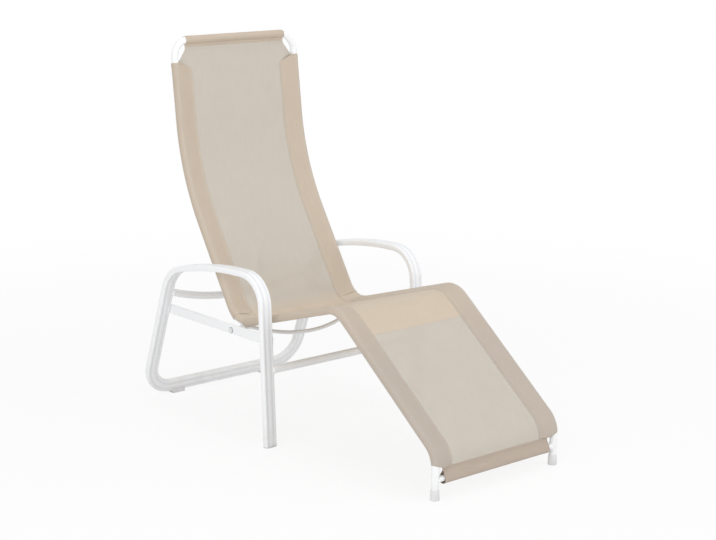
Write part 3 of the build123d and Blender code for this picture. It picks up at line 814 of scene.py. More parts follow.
class Finish(Enum):
    """The finishes of the lounger."""

    COAT = PowderCoat()
    MESH = CoatedMesh(
        "coated_mesh",
        linear(214, 206, 194),
        linear(216, 200, 180),
        linear(176, 160, 141),
        thin=0.78,
        dense=0.97,
        open_eye=0.1,
    )
    DOUBLE = CoatedMesh(
        "coated_mesh_doubled", linear(212, 201, 187), linear(205, 189, 171), linear(168, 150, 131)
    )
    # Painted shade: the leg sleeves darken towards the foot end.
    LEG = replace(DOUBLE, name="coated_mesh_leg_doubled_shaded", worn=0.6)
    # Painted shade: a darker copy of the doubled mesh for the low, upright foot hem.
    FOOT = CoatedMesh(
        "coated_mesh_foot_doubled_shaded",
        linear(196, 183, 170),
        linear(188, 172, 157),
        linear(154, 138, 123),
        thin=0.95,
    )
    THREAD = SewingThread()
    PLASTIC = MouldedPlastic("matt_white_plastic", linear(233, 233, 235))
    BUSH = MouldedPlastic("bearing_plastic", linear(220, 220, 214), rough=0.38)
    STEEL = ZincSteel()

    @property
    def material(self) -> Material:
        """The finish's one material."""
        return wired(self)


@cache
def wired(finish: Finish) -> Material:
    """A finish's material, wired when it is first asked for."""
    return finish.value.make()


# Pieces on their way into the scene


def linked(name: str, data: bpy.types.ID) -> bpy.types.Object:
    """A new object in the scene, at the origin and unturned."""
    thing = bpy.data.objects.new(name, data)
    bpy.context.scene.collection.objects.link(thing)
    return thing


@dataclass
class Piece:
    """A finished surface, with the body that it rides on and the nodes that it stands for."""

    name: str
    patch: Patch
    finish: Finish
    body: Body
    slot: Slot
    replaced: Sequence[str] = ()
    lids: Sequence[Sequence[int]] = ()
    shell: float = 0.0

    def place(self) -> bpy.types.Object:
        """Make the mesh, dress it and let it ride on its body.

        Returns:
            The piece's object.
        """
        mesh = bpy.data.meshes.new(self.name)
        faces = [*self.patch.quads.tolist(), *[list(lid) for lid in self.lids]]
        mesh.from_pydata(self.patch.points.tolist(), [], faces)
        corners = np.zeros((len(mesh.loops), 2))
        corners[: len(self.patch.cloth)] = self.patch.cloth
        mesh.uv_layers.new(name="Cloth").data.foreach_set("uv", corners.ravel())
        mesh.attributes.new("Tone", "FLOAT", "POINT").data.foreach_set("value", self.patch.tone)
        mesh.shade_smooth()
        mesh.set_sharp_from_angle(angle=SHARP_EDGE)
        mesh.materials.append(self.finish.material)
        mesh.update()
        piece = linked(self.name, mesh)
        if self.shell:
            wall = piece.modifiers.new("Thickness", "SOLIDIFY")
            wall.thickness = self.shell
            wall.offset = 0
        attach(piece, self.body.value)
        if self.replaced:
            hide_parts(*self.replaced)
        log.info("%s: %d faces on %s", self.name, len(mesh.polygons), self.body.value)
        return piece


class Framework:
    """What the two white frames share: their body, their tubes and the solids that stay."""

    body: ClassVar[Body]
    paired: ClassVar[Mapping[str, Finish]]
    single: ClassVar[Mapping[str, Finish]]

    def tube(self, name: str, line: Line, section: Array, node: str, tone: Array | float = 0.0) -> None:
        """A tube or bar with closed ends, in place of a CAD node.

        Args:
            name: The piece's name.
            line: Centre line.
            section: Outline, counter-clockwise.
            node: The CAD node that it stands for.
            tone: Tone of each point of the outline, or one for all.
        """
        rows, columns = len(line.points), len(section)
        lids = [range(columns)[::-1], range((rows - 1) * columns, rows * columns)]
        patch = carried(line, section, tone=tone)
        Piece(name, patch, Finish.COAT, self.body, Slot.FRAME, [node], lids).place()

    def welds(self, name: str, beads: Sequence[Patch]) -> None:
        """Weld beads as one piece."""
        Piece(name, joined(beads), Finish.COAT, self.body, Slot.FRAME).place()

    def dress(self) -> None:
        """Finishes of the solids that stay, on both sides or alone."""
        both = {f"{stem}_{side.word}": finish for stem, finish in self.paired.items() for side in Side}
        for name, finish in {**both, **self.single}.items():
            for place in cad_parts[name].material_slots:
                place.material = finish.material
            log.info("%s keeps its solid and wears %s", name, finish.value.name)


# Outlines carried along the tubes and rails


@dataclass(frozen=True)
class Pocket:
    """A pocket of cloth sewn round a tube: its outline, how it lies and how dense it looks.

    Attributes:
        tube: Radius of the cloth's middle round the tube.
        reach: From the tube's centre to the seam's tip, along the first axis.
        band: Length of the sewn band, where the two layers lie together.
        layer: Half the distance between the two layers in the band.
        pleat: Height of the soft pleats along the pocket.
        pucker: Height of the creases at its loose ends.
        fade: How pale the band is, and how pale the painted highlight over the tube.
        pleat_pitch: From pleat to pleat.
        pleat_drift: How far the pleats drift to and fro, as an angle.
        drift_length: Length over which they drift once.
        crease_reach: How far the creases reach from a loose end.
        crease_pitch: From crease to crease.
        crease_slant: How they slant across the pocket, in radians per metre.
        stripe_pitch: From stripe to stripe of the tone.
        stripe_depth: How pale the stripes are.
        counts: Points along the band, along the slope to the tube and round the tube.
    """

    tube: float
    reach: float
    band: float
    layer: float
    pleat: float = 0.0006
    pucker: float = 0.0015
    fade: float = 0.5
    pleat_pitch: float = 0.011
    pleat_drift: float = 1.3
    drift_length: float = 0.37
    crease_reach: float = 0.016
    crease_pitch: float = 0.013
    crease_slant: float = 90.0
    stripe_pitch: float = 0.0125
    stripe_depth: float = 0.25
    counts: ClassVar[tuple[int, int, int]] = (5, 12, 36)

    @property
    def seam(self) -> float:
        """Where the band starts."""
        return self.reach - self.band

    def section(self) -> Array:
        """Outline of the pocket's middle, counter-clockwise from the upper layer's end at the tip.

        From the seam the cloth runs straight to touch the circle round the tube, follows it and
        comes back below, and along the band the two layers lie together.

        Returns:
            The outline's points.
        """
        on_band, on_slope, on_tube = self.counts
        touch = np.degrees(atan(self.layer / self.seam) + acos(self.tube / hypot(self.seam, self.layer)))
        around = arc_points((0, 0), self.tube, touch, 360 - touch, on_tube)
        flat = np.linspace((self.reach, self.layer), (self.seam, self.layer), on_band)
        slope = np.linspace((self.seam, self.layer), around[0], on_slope + 2)[1:-1]
        upper = np.concatenate([flat, slope])
        return np.concatenate([upper, around, upper[::-1] * (1, -1), [[self.reach + self.layer, 0]]])

    def upper_half(self) -> Array:
        """The outline from the tip over the sitter's side to the tube's outer side."""
        on_band, on_slope, on_tube = self.counts
        return self.section()[: on_band + on_slope + on_tube // 2 + 1]

    def length(self) -> float:
        """Length of cloth round the outline."""
        return float(np.linalg.norm(np.diff(self.section(), axis=0), axis=1).sum())

    def wrinkled(self, distances: Array, loose: Sequence[float]) -> Array:
        """The outline at each row, with pleats along the flat cloth and creases at loose ends.

        Outwards by pleat (1 + cos(2 pi u / pleat pitch + drift sin(2 pi s / drift length))) / 2 on
        the flat cloth, and near a loose end by
        pucker exp(-((s - end) / reach)^2) (1 + sin(2 pi s / crease pitch + slant u)) / 2.

        Args:
            distances: Grid of distances s along the pocket.
            loose: Distances of its loose ends.

        Returns:
            An outline for each row.
        """
        section = self.section()
        across = section[:, 0]
        slope = np.roll(section, -1, axis=0) - np.roll(section, 1, axis=0)
        outwards = unit(np.stack([slope[:, 1], -slope[:, 0]], axis=1))
        free = 1 - step(across, self.seam - 0.006, self.seam)
        flat = free * step(across, self.tube * 0.6, self.tube + 0.008)
        drift = self.pleat_drift * np.sin(2 * pi * distances / self.drift_length)
        height = self.pleat * (1 + np.cos(2 * pi * across / self.pleat_pitch + drift)) / 2 * flat
        slant = self.crease_slant * across
        for end in loose:
            near = np.exp(-(((distances - end) / self.crease_reach) ** 2)) * free
            crease = (1 + np.sin(2 * pi * distances / self.crease_pitch + slant)) / 2
            height = height + self.pucker * near * crease
        return section + height[..., None] * outwards

    def tone(self) -> Array:
        """Tone of each column: pale along the band, pale as a painted highlight over the tube's upper
        side, striped between them.
        """
        across, off = self.section().T
        band = step(across, self.seam - 0.002, self.seam + 0.001)
        # Painted highlight: paler along the top of the tube, on the sitter's side.
        crown_highlight = np.exp(-(((across + 0.001) / 0.006) ** 2)) * (off > 0)
        stripes = self.stripe_depth * (0.5 + 0.5 * np.cos(2 * pi * across / self.stripe_pitch))
        return np.clip(1 - self.fade * (band + crown_highlight) - stripes * (1 - band), 0, 1)

    def along(self, line: Line, distances: Array, loose: Sequence[float]) -> Patch:
        """The pocket carried along a line, with its pleats, creases and tones."""
        return carried(line, self.wrinkled(distances, loose), distances=distances, tone=self.tone())


@dataclass(frozen=True)
class Fold:
    """A soft ridge of the web between two places, each its distance from the middle and along."""

    start: Pair
    end: Pair
    width: float
    height: float

    def rise(self, across: Array, along: Array) -> Array:
        """Height times exp(-(d / width)^2), with d the distance to the line between the places."""
        start, run = np.array(self.start), np.subtract(self.end, self.start)
        place = np.stack([across, along], axis=-1) - start
        share = np.clip(place @ run / (run @ run), 0, 1)
        far = np.linalg.norm(place - share[..., None] * run, axis=-1)
        return self.height * np.exp(-((far / self.width) ** 2))


# Sub-assemblies of the lounger


@dataclass
class ArmFrame(Framework):
    """The white base: one fluted tube hoop, two side braces and two crossbars."""

    body: ClassVar[Body] = Body.BASE
    paired: ClassVar[Mapping[str, Finish]] = {
        "front_leg_plug": Finish.PLASTIC, "rear_pad": Finish.PLASTIC, "pivot_bush": Finish.BUSH
    }
    single: ClassVar[Mapping[str, Finish]] = {
        "brace_end_plugs": Finish.PLASTIC, "rear_pad_screws": Finish.STEEL, "pivot_washers": Finish.STEEL
    }
    hoop_x: float = 0.3075
    tube_width: float = 0.042
    tube_depth: float = 0.019
    tube_corner: float = 0.006
    flute_spacing: float = 0.0186
    flute_radius: float = 0.01665
    flute_depth: float = 0.0009
    plug_flange: float = 0.004
    leg_foot: float = 0.003
    leg_lean: float = radians(3.85)
    arm_front_height: float = 0.5135
    arm_crest: Pair = (0.270677, 0.511)
    arm_fall: float = radians(13.7)
    upright_lean: float = radians(17.9)
    runner: Pair = (0.63806, 0.02935)
    radii: tuple[float, ...] = (0.092, 1.21555, 0.116, 0.09)
    brace_height: float = 0.317
    brace_size: Pair = (0.008, 0.030)
    brace_corner: float = 0.003
    brace_inset: float = 0.014
    crossbar_radius: float = 0.012
    front_crossbar: float = 0.234
    rear_crossbar: float = 0.375
    rear_bow: float = 0.049
    bow_points: int = 60
    weld_lap: float = 0.004
    weld_size: float = 0.0018

    @property
    def inner_x(self) -> float:
        """The hoop's inner face."""
        return self.hoop_x - self.tube_width / 2

    def leg_y(self, height: float) -> float:
        """Station of the front leg's centre line at a height."""
        return self.leg_foot + height * tan(self.leg_lean)

    def upright_y(self, height: float) -> float:
        """Station of the rear upright's centre line at a height."""
        return self.runner[0] - (height - self.runner[1]) * tan(self.upright_lean)

    def hoop_line(self) -> Line:
        """Centre line from the right front foot over both arms to the left front foot.

        Returns:
            The line.
        """
        fall, lean = tan(self.arm_fall), tan(self.upright_lean)
        crest_y, crest_z = self.arm_crest
        rear_y = (self.upright_y(crest_z) - lean * fall * crest_y) / (1 - lean * fall)
        leg = [(self.leg_y(height), height) for height in (self.plug_flange, self.arm_front_height)]
        rear = (rear_y, crest_z - fall * (rear_y - crest_y))
        return arched_line(self.hoop_x, [*leg, self.arm_crest, rear, self.runner], self.radii)

    def build_hoop(self) -> None:
        """The fluted tube that is both arms, all legs and the floor runner.

        A flute is the part of a circle of the flute's radius that lies inside a wide face, its
        centre that radius less the flute's depth outside it. Its tone, its share of the depth, sets
        painted shade.
        """
        face, flute = self.tube_depth / 2, self.flute_radius
        opening = np.degrees(acos((flute - self.flute_depth) / flute))
        flutes = [
            arc_points((x, face + flute - self.flute_depth), flute, 270 + opening, 270 - opening, 7)
            for x in (self.flute_spacing / 2, -self.flute_spacing / 2)
        ]
        section = bar_section(self.tube_width, self.tube_depth, self.tube_corner, 9, flutes)
        flat = np.abs(section[:, 0]) < self.tube_width / 2 - self.tube_corner
        sunk = np.clip((face - np.abs(section[:, 1])) / self.flute_depth, 0, 1)
        self.tube("arm_hoop_tube", self.hoop_line(), section, "base_hoop", sunk * flat)

    def build_braces(self) -> None:
        """Flat bars along the inner faces of the legs and uprights."""
        thick, tall = self.brace_size
        x = self.inner_x - thick / 2
        front = self.leg_y(self.brace_height) - self.tube_depth / 2 + self.brace_inset
        rear = self.upright_y(self.brace_height) + self.tube_depth / 2 - self.brace_inset
        section = bar_section(thick, tall, self.brace_corner)
        for side in Side:
            line = bent_line([(side.value * x, y, self.brace_height) for y in (front, rear)], ACROSS)
            self.tube(f"side_brace_bar_{side.word}", line, section, f"side_brace_{side.word}")

    def build_crossbars(self) -> None:
        """The straight bar between the front legs and the bowed one between the uprights.

        The bowed bar is an arc of radius (x^2 + b^2) / 2 b, with b its bow over the inner faces.
        """
        reach = self.inner_x + self.weld_lap
        section = round_section(self.crossbar_radius)
        line = cross_line(reach, (self.leg_y(self.front_crossbar), self.front_crossbar))
        self.tube("front_crossbar_tube", line, section, "front_crossbar")

        radius = (self.inner_x**2 + self.rear_bow**2) / (2 * self.rear_bow)
        turn = np.arcsin(reach / radius)
        down = np.array([0, sin(self.upright_lean), -cos(self.upright_lean)])
        middle = np.array([0, self.upright_y(self.rear_crossbar), self.rear_crossbar])
        angles = np.linspace(-turn, turn, self.bow_points)[:, None]
        across = np.array(ACROSS)
        drop = radius * np.cos(angles) - (radius - self.rear_bow)
        points = middle + radius * np.sin(angles) * across + drop * down
        along = np.cos(angles) * across - np.sin(angles) * down
        square = np.cross(down, across)
        line = Line(points, along, np.broadcast_to(square, along.shape))
        self.tube("rear_crossbar_tube", line, section, "rear_crossbar")
        self.build_welds(down, square)

    def build_welds(self, down: Array, square: Array) -> None:
        """Beads round the crossbars' ends, where they meet the legs and the uprights.

        Args:
            down: The direction in which the rear crossbar bows.
            square: The direction square to its plane.
        """
        radius = self.crossbar_radius
        slant = hypot(1, 2 * self.rear_bow * self.inner_x / (self.inner_x**2 - self.rear_bow**2))
        beads = []
        for side in Side:
            x = side.value * self.inner_x
            front = (x, self.leg_y(self.front_crossbar), self.front_crossbar)
            rear = (x, self.upright_y(self.rear_crossbar), self.rear_crossbar)
            slanted = side.value * radius * slant * down
            beads.append(weld_ring(front, (0, radius, 0), (0, 0, -side.value * radius), self.weld_size))
            beads.append(weld_ring(rear, radius * square, slanted, self.weld_size))
        self.welds("crossbar_welds", beads)

    def build(self) -> None:
        """All of the base."""
        self.build_hoop()
        self.build_braces()
        self.build_crossbars()
        self.dress()


@dataclass
class SeatRails(Framework):
    """The bent tube from foot to foot over the head end, with what is fixed to it."""

    body: ClassVar[Body] = Body.LOUNGER
    paired: ClassVar[Mapping[str, Finish]] = {
        "hinge_lug": Finish.COAT,
        "pivot_spacer": Finish.COAT,
        "pivot_cap": Finish.PLASTIC,
        "foot_ferrule": Finish.PLASTIC,
    }
    single: ClassVar[Mapping[str, Finish]] = {"pivot_bolts": Finish.STEEL}
    rail_x: float = 0.240
    rail_radius: float = 0.011
    foot_y: float = -0.6385
    foot_floor: float = 0.004
    knee: Pair = (-0.215, 0.461)
    calf_slope: float = radians(38)
    seat_slope: float = radians(17.1)
    hip_y: float = 0.248
    lumbar_slope: float = radians(57.7)
    shoulder_height: float = 0.748
    shoulder_slope: float = radians(82)
    head_height: float = 1.164
    head_lead: float = 0.01
    radii: tuple[float, ...] = (0.078, 0.080, 0.080, 0.760, 0.057)
    pivot: Pair = (0.222, 0.3135)
    lug_thickness: float = 0.005
    rod_radius: float = 0.006
    rod_end: float = 0.0125
    rod_end_radius: float = 0.035
    rod_bow: float = 0.058
    rod_angle: float = radians(50)
    rod_step: float = radians(1.5)
    foot_bar_radius: float = 0.009
    foot_bar_height: float = 0.058
    weld_size: float = 0.0016

    @property
    def corners(self) -> list[Pair]:
        """Corners of the side view: ankle, knee, hip, shoulder and head.

        Returns:
            Their stations and heights.
        """
        knee_y, knee_z = self.knee
        ankle = (self.foot_y, knee_z - tan(self.calf_slope) * (knee_y - self.foot_y))
        hip = (self.hip_y, knee_z - tan(self.seat_slope) * (self.hip_y - knee_y))
        shoulder_y = self.hip_y + (self.shoulder_height - hip[1]) / tan(self.lumbar_slope)
        head_y = shoulder_y + (self.head_height - self.shoulder_height) / tan(self.shoulder_slope)
        return [ankle, self.knee, hip, (shoulder_y, self.shoulder_height), (head_y, self.head_height)]

    def below_head(self, distance: float) -> Array:
        """Point of the back in the side view, at a distance below the top tube."""
        shoulder, head = np.array(self.corners[-2:])
        return head - unit(head - shoulder) * distance

    def side_line(self, x: float, start: float, end: float) -> Line:
        """The rails' side view at a distance from the middle.

        Args:
            x: Distance from the middle plane.
            start: Height on the foot tube where it starts.
            end: Distance below the top tube where it ends.

        Returns:
            The line, its first axis pointing from the left rail to the middle.
        """
        corners = [(self.foot_y, start), *self.corners[:-1], self.below_head(end)]
        return bent_line([(x, *corner) for corner in corners], (-1, 0, 0), self.radii[:4], FINE_STEP)

    def head_line(self) -> Line:
        """The top tube from right to left with both its bends, its first axis pointing inwards."""
        below = self.below_head(self.radii[-1] + self.head_lead)
        return arched_line(self.rail_x, [below, self.corners[-1]], self.radii[-1:], FINE_STEP)

    def build_tube(self) -> None:
        """The round tube of the seat frame."""
        line = arched_line(self.rail_x, [(self.foot_y, self.foot_floor), *self.corners], self.radii)
        self.tube("seat_rail_tube", line, round_section(self.rail_radius), "seat_frame")

    def build_rod(self) -> None:
        """The bowed rod between the hinge lugs."""
        lug = self.rail_x - self.lug_thickness / 2
        half = lug - self.rod_end
        turn = 2 * atan(self.rod_bow / half)
        corner = half - self.rod_end_radius * tan(turn / 2)
        radii = (self.rod_end_radius, half / sin(turn) - self.rod_end_radius, self.rod_end_radius)
        flat = [(-lug, 0), (-corner, 0), (0, corner * tan(turn)), (corner, 0), (lug, 0)]
        forward, down = sin(self.rod_angle), cos(self.rod_angle)
        points = [(x, self.pivot[0] - drop * forward, self.pivot[1] - drop * down) for x, drop in flat]
        line = bent_line(points, (0, -down, forward), radii, self.rod_step)
        self.tube("spreader_rod_bar", line, round_section(self.rod_radius, 24), "spreader_rod")

    def build_foot_bar(self) -> None:
        """The cross tube between the two feet, and the beads at its ends."""
        radius, center = self.foot_bar_radius, (self.foot_y, self.foot_bar_height)
        line = cross_line(self.rail_x, center)
        self.tube("foot_crossbar_tube", line, round_section(radius, 32), "foot_crossbar")
        inner = self.rail_x - self.rail_radius
        beads = [
            weld_ring(
                (side.value * inner, *center),
                (0, radius, 0),
                (0, 0, -side.value * radius),
                self.weld_size,
                saddle=self.rail_radius,
            )
            for side in Side
        ]
        self.welds("foot_bar_welds", beads)

    def build(self) -> None:
        """All of the seat frame."""
        self.build_tube()
        self.build_rod()
        self.build_foot_bar()
        self.dress()


@dataclass
class Sling:
    """The coated mesh: a web with sewn sleeves round the rails and hems round the cross tubes."""

    rails: SeatRails
    thickness: float = 0.001
    layer: float = 0.0006
    slack: float = 0.0007
    reach: float = 0.062
    band: float = 0.009
    foot_start: float = 0.08908
    head_gap: float = 0.070
    head_slant: float = 0.020
    notch: Pair = (0.209, 0.250)
    rail_edge: float = 0.229
    corner_radius: float = 0.160
    top_reach: float = 0.022
    top_half: float = 0.197
    foot_half: float = 0.212
    foot_edge: float = 0.256
    foot_rise: float = 0.015
    foot_hang: float = 0.003
    foot_tongue: float = 0.02
    tuck: float = 0.004
    sag: float = 0.003
    row: float = 0.006
    end_share: float = 0.06
    end_rows: int = 22
    web_columns: int = 81
    corner_row: float = 0.0004
    level_by_corner: Pair = (0.001, 0.03)
    sunk_below: float = 0.045
    hem_rows: int = 110
    notch_lead: float = 0.1
    notch_rows: int = 12
    notch_tone: float = 0.85
    # Ends of the seat stretch that carries painted shade, along the web.
    seat_shade_front: Pair = (0.477, 0.484)
    seat_shade_rear: Pair = (1.05, 1.12)
    folds: tuple[Fold, ...] = (
        Fold((0.165, 1.09), (0.070, 1.27), 0.016, 0.0030),
        Fold((-0.165, 1.09), (-0.085, 1.25), 0.015, 0.0022),
        Fold((0.160, 1.02), (0.050, 0.93), 0.017, 0.0024),
        Fold((-0.160, 1.02), (-0.060, 0.93), 0.016, 0.0018),
        Fold((0.175, 1.90), (0.110, 1.80), 0.014, 0.0014),
        Fold((-0.175, 1.90), (-0.110, 1.80), 0.014, 0.0014),
        Fold((0.165, 0.05), (0.100, 0.14), 0.015, 0.0014),
        Fold((-0.165, 0.05), (-0.100, 0.14), 0.015, 0.0014),
    )
    stitch: tuple[float, float, float] = (0.0036, 0.0008, 0.0005)
    stitch_pitch: float = 0.005
    stitch_rows: Pair = (0.002, 0.007)

    @property
    def seam_x(self) -> float:
        """Where the sleeves are sewn to the web."""
        return self.rails.rail_x - self.reach

    @property
    def sleeve(self) -> Pocket:
        """The pocket round a rail."""
        return Pocket(self.rails.rail_radius + self.slack, self.reach, self.band, self.layer)

    def side_line(self) -> Line:
        """The left rail from the foot hem to the back sleeve's head end."""
        return self.rails.side_line(self.rails.rail_x, self.foot_start, self.head_gap)

    def notch_distances(self, line: Line) -> Pair:
        """Distances along a side line at which the bare stretch of rail starts and ends."""
        rising = slice(np.searchsorted(line.points[:, 1], self.notch[0] - self.notch_lead), None)
        front, rear = np.interp(self.notch, line.points[rising, 1], line.length[rising])
        return float(front), float(rear)

    def corner_half(self, below: Array) -> Array:
        """Half width of the web in the top corners, at distances below the top tube.

        The edge is an arc of the corner radius R over a chord c from the sleeve's end to the
        hem's end, hollow by 4 h f (1 - f) at a share f of the chord, with h = c^2 / 8 R.

        Args:
            below: Distances below the top tube.

        Returns:
            The half width at each.
        """
        bend = self.rails.radii[-1]
        over = self.top_half - (self.rails.rail_x - bend)
        hem_end = bend - sqrt((bend - self.top_reach) ** 2 - over**2)
        share = np.clip((self.head_gap - below) / (self.head_gap - hem_end), 0, 1)
        chord = hypot(self.rail_edge - self.top_half, self.head_gap - hem_end)
        hollow = chord**2 / (8 * self.corner_radius) * 4 * share * (1 - share)
        return self.rail_edge + (self.top_half - self.rail_edge) * share - hollow

    def notch_wrap(self) -> Patch:
        """The web's strip over the left rail's upper side, where the sleeves leave it bare.

        Returns:
            The strip.
        """
        line, section = self.side_line(), self.sleeve.upper_half()
        front, rear = self.notch_distances(line)
        rows = np.linspace(front - self.tuck / 2, rear + self.tuck / 2, self.notch_rows)
        distances = np.broadcast_to(rows[:, None], (len(rows), len(section)))
        return carried(line, section, closed=False, distances=distances, tone=self.notch_tone)

    def build_web(self) -> None:
        """The web between the seams, from hem to hem, with its corners and its folds.

        Its rows follow the side view. Towards the top they sink beside the straight hem by
        r - sqrt(r^2 - d^2), so that the edge follows the hem's seam round the bends. The web lies
        flat where it widens inside the ends of the back sleeves.
        """
        rails = self.rails
        line = rails.side_line(0, self.foot_start - self.foot_tongue, self.top_reach - self.tuck)
        total = line.total
        head = total + self.top_reach - self.tuck
        corner = head - self.head_gap - self.head_slant - self.tuck
        edges = [corner - self.corner_row, corner, *self.seat_shade_front]
        place = np.unique(np.concatenate([np.linspace(0, total, ceil(total / self.row)), edges]))
        below = head - place
        half = np.where(place < corner, self.seam_x, self.corner_half(below))
        wide = half[:, None] * np.linspace(-1, 1, self.web_columns)
        seam = rails.radii[-1] - self.top_reach
        over = np.clip(np.abs(wide) - (rails.rail_x - rails.radii[-1]), 0, seam)
        sunk = seam - np.sqrt(seam**2 - over**2)
        distances = place[:, None] - sunk * step(below, self.sunk_below, self.top_reach)[:, None]
        hung = 1 - np.clip(wide / self.seam_x, -1, 1) ** 2
        height = -self.sag * hung * np.sin(pi * distances / total)
        height = height + sum(fold.rise(wide, distances) for fold in self.folds)
        height = height * step(np.abs(place - corner), *self.level_by_corner)[:, None]
        # Painted shade: the seat stretch is drawn denser and tanner, for the shaded floor seen through
        # it.
        seat = step(place, *self.seat_shade_front) * (1 - step(place, *self.seat_shade_rear))
        section = np.stack([wide, height], axis=-1)
        web = carried(line, section, closed=False, distances=distances, tone=seat[:, None])
        wrap = self.notch_wrap()
        patch, size = joined([web, wrap, wrap.mirrored()]), (2 * self.seam_x, total)
        worn = (Finish.MESH, Body.LOUNGER, Slot.MESH)
        piece = Piece("sling_web", patch, *worn, ["sling_panel"], shell=self.thickness).place()

    def sew(self, name: str, patch: Patch, node: str, flat: Pair, cloth: Finish) -> None:
        """Args:
            name: The piece's name.
            patch: Its surface.
            node: The CAD node that it stands for.
            flat: Size of the cut cloth; not used.
            cloth: Its finish.
        """
        shell = self.thickness
        piece = Piece(name, patch, cloth, Body.LOUNGER, Slot.DOUBLE, [node], shell=shell).place()

    def seam(self, line: Line, reach: float, start: float, end: float) -> Patch:
        """Two rows of stitches along a pocket's band, on both of its faces.

        Args:
            line: The pocket's line.
            reach: From the line to the band's tip.
            start: Distance along the line at which the stitches start.
            end: Distance at which they end.

        Returns:
            The stitches as one patch.
        """
        at = line.at(np.arange(start + self.stitch_pitch, end - self.stitch_pitch / 2, self.stitch_pitch))
        off = self.layer + self.thickness / 2
        rows = []
        for inset in self.stitch_rows:
            for face in (1, -1):
                places = at.points + (reach - inset) * at.side + face * off * at.up
                rows.append(thread_row(places, at.along, face * at.up, self.stitch))
        return joined(rows)

    def place_thread(self, name: str, patch: Patch) -> None:
        """Place the stitches of a seam."""
        Piece(name, patch, Finish.THREAD, Body.LOUNGER, Slot.DOUBLE).place()

    def build_sleeves(self) -> None:
        """The four pockets round the rails, below and above the notches, and their stitches."""
        line, pocket = self.side_line(), self.sleeve
        front, rear = self.notch_distances(line)
        total = line.total
        inwards = pocket.section()[:, 0]
        outer = self.rails.rail_x - inwards - self.foot_half
        rise = self.foot_rise * np.clip(outer / (self.foot_edge - self.foot_half), 0, None)
        slant = self.head_slant * step(inwards, pocket.tube, self.reach)
        for part, start, end, late, early, loose, cloth in (
            ("leg", 0.0, front, rise, 0 * slant, (front,), Finish.LEG),
            ("back", rear, total, 0 * rise, slant, (rear, total), Finish.DOUBLE),
        ):
            share, count = self.end_share, self.end_rows
            ends = [np.linspace(0, share, count), np.linspace(1 - share, 1, count)]
            even = np.linspace(0, 1, ceil((end - start) / self.row))
            rows = np.unique(np.concatenate([even, *ends]))
            distances = start + late + (end - early - start - late) * rows[:, None]
            patch = pocket.along(line, distances, loose)
            stitches = self.seam(line, self.reach, start, end - early.max())
            for side in Side:
                if side is Side.RIGHT:
                    patch, stitches = patch.mirrored(), stitches.mirrored()
                name, node = f"{part}_pocket_{side.word}", f"{part}_sleeve_{side.word}"
                self.sew(name, patch, node, (pocket.length(), end - start), cloth)
                self.place_thread(f"{part}_stitches_{side.word}", stitches)

    def build_hem(
        self,
        node: str,
        line: Line,
        pocket: Pocket,
        halves: Array,
        straight: float,
        cloth: Finish,
    ) -> None:
        """A pocket round a cross tube, with its stitches.

        Args:
            node: The CAD node that it stands for.
            line: Its centre line.
            pocket: Its outline.
            halves: Half length of each column.
            straight: Half length of its straight stretch.
            cloth: Its finish.
        """
        middle = line.total / 2
        ends = (middle - straight, middle + straight)
        distances = middle + halves * np.linspace(-1, 1, self.hem_rows)[:, None]
        width = 2 * (self.top_half if node == "top_hem" else self.foot_half)
        patch = pocket.along(line, distances, ends)
        self.sew(f"{node}_pocket", patch, node, (width, pocket.length()), cloth)
        self.place_thread(f"{node}_stitches", self.seam(line, pocket.reach, *ends))

    def build_hems(self) -> None:
        """The pockets round the top tube, cut square, and round the foot crossbar, hanging loose.

        At an offset u inwards, the top bend's radius is R - u, so a column's half length is the
        straight half plus R times asin(overlap / (R - u)).
        """
        rails = self.rails
        bend = rails.radii[-1]
        straight = rails.rail_x - bend
        tube = rails.rail_radius + self.slack
        looks = {"pleat": 0.0, "pucker": 0.0006, "fade": 0.15}
        pocket = Pocket(tube, self.top_reach, self.band, self.layer, **looks)
        over = np.arcsin((self.top_half - straight) / (bend - pocket.section()[:, 0]))
        halves = straight + bend * over
        line = rails.head_line()
        self.build_hem("top_hem", line, pocket, halves, straight, Finish.DOUBLE)

        center = (rails.foot_y, rails.foot_bar_height - self.foot_hang)
        tube = rails.foot_bar_radius + self.slack + self.foot_hang
        looks = {"pleat": 0.0004, "pucker": 0.0008, "fade": 0.15}
        pocket = Pocket(tube, self.foot_start - center[1], self.band, self.layer, **looks)
        straight = self.foot_half
        halves = np.full(len(pocket.section()), straight)
        line = cross_line(straight, center, (0, 0, 1))
        self.build_hem("foot_hem", line, pocket, halves, straight, Finish.FOOT)

    def build(self) -> None:
        """All of the sling."""
        self.build_web()
        self.build_sleeves()
        self.build_hems()


# Studio round the lounger


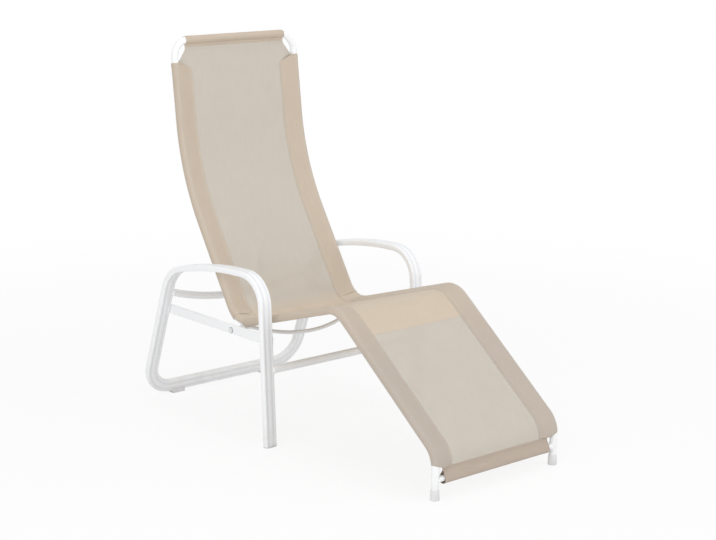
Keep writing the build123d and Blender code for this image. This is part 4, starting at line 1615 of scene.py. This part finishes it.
@dataclass
class Studio:
    """Pale floor, soft lamps, white surroundings and the camera."""

    azimuth: float = radians(-41.81)
    elevation: float = radians(13.03)
    roll: float = radians(0.961)
    place: tuple[float, float, float] = (-3.5515, -4.0066, 1.7423)
    focal_share: float = 1801.47 / 716  # focal length over the picture's width
    sensor: float = 36.0
    sight: float = 200.0
    floor_half: float = 45.0
    ambient: float = 0.54
    middle: tuple[float, float, float] = (0.0, 0.0, 0.5)
    lamps: Mapping[str, tuple[tuple[float, float, float], float, float]] = field(
        default_factory=lambda: {
            "key_lamp": ((-3.9, -2.1, 1.95), 2.4, 66.0),
            "fill_lamp": ((2.4, -3.8, 2.0), 2.6, 46.0),
            "top_lamp": ((0.1, 0.1, 4.2), 2.4, 36.0),
        }
    )

    def build_camera(self) -> None:
        """The camera at the picture's viewing angle."""
        az, el, roll = self.azimuth, self.elevation, self.roll
        back = np.array([cos(el) * sin(az), -cos(el) * cos(az), sin(el)])
        level = np.array([cos(az), sin(az), 0.0])
        right = cos(roll) * level + sin(roll) * np.cross(back, level)
        data = bpy.data.cameras.new("picture_camera")
        data.sensor_fit = "HORIZONTAL"
        data.sensor_width = self.sensor
        data.lens = self.focal_share * self.sensor
        data.clip_end = self.sight
        camera = linked("picture_camera", data)
        camera.matrix_world = placed(right, back, self.place)
        bpy.context.scene.camera = camera

    def build_floor(self) -> None:
        """A wide level floor under the feet."""
        half = self.floor_half
        corners = [(-half, -half, 0), (half, -half, 0), (half, half, 0), (-half, half, 0)]
        mesh = bpy.data.meshes.new("studio_floor")
        mesh.from_pydata(corners, [], [(0, 1, 2, 3)])
        mesh.materials.append(StudioFloor().make())
        linked("studio_floor", mesh)

    def build_world(self) -> None:
        """Surroundings that light softly and that the camera sees as white."""
        world = bpy.data.worlds.new("studio_surroundings")
        bpy.context.scene.world = world
        world.use_nodes = True
        wires = Wiring(world.node_tree)
        strength = wires.slope(white_rays(wires), 1 - self.ambient, self.ambient)
        wires.fill(world.node_tree.nodes["Background"], {"Color": (1, 1, 1, 1), "Strength": strength})

    def build_lamp(self, name: str, place: Sequence[float], size: float, watts: float) -> None:
        """A square soft lamp that faces the lounger's middle.

        Args:
            name: The lamp's name.
            place: Where it hangs.
            size: Length of its sides.
            watts: Its power.
        """
        data = bpy.data.lights.new(name, "AREA")
        data.size = size
        data.energy = watts
        back = unit(np.subtract(place, self.middle))
        linked(name, data).matrix_world = placed(unit(np.cross((0, 0, 1), back)), back, place)

    def build(self) -> None:
        """All of the studio."""
        self.build_camera()
        self.build_floor()
        self.build_world()
        for name, lamp in self.lamps.items():
            self.build_lamp(name, *lamp)
        bpy.context.scene.view_settings.view_transform = "Standard"


def placed(right: Array, back: Array, place: Sequence[float]) -> Matrix:
    """The matrix of an object at a place, its X axis to the right and its Z axis back."""
    rows = np.eye(4)
    rows[:3] = np.stack([right, np.cross(back, right), back, place], axis=1)
    return Matrix(rows.tolist())


def main() -> None:
    """Build the lounger and its studio in order."""
    logging.basicConfig(level=logging.INFO, format="%(message)s")
    Studio().build()
    ArmFrame().build()
    rails = SeatRails()
    rails.build()
    Sling(rails).build()


if __name__ == "__main__":
    main()
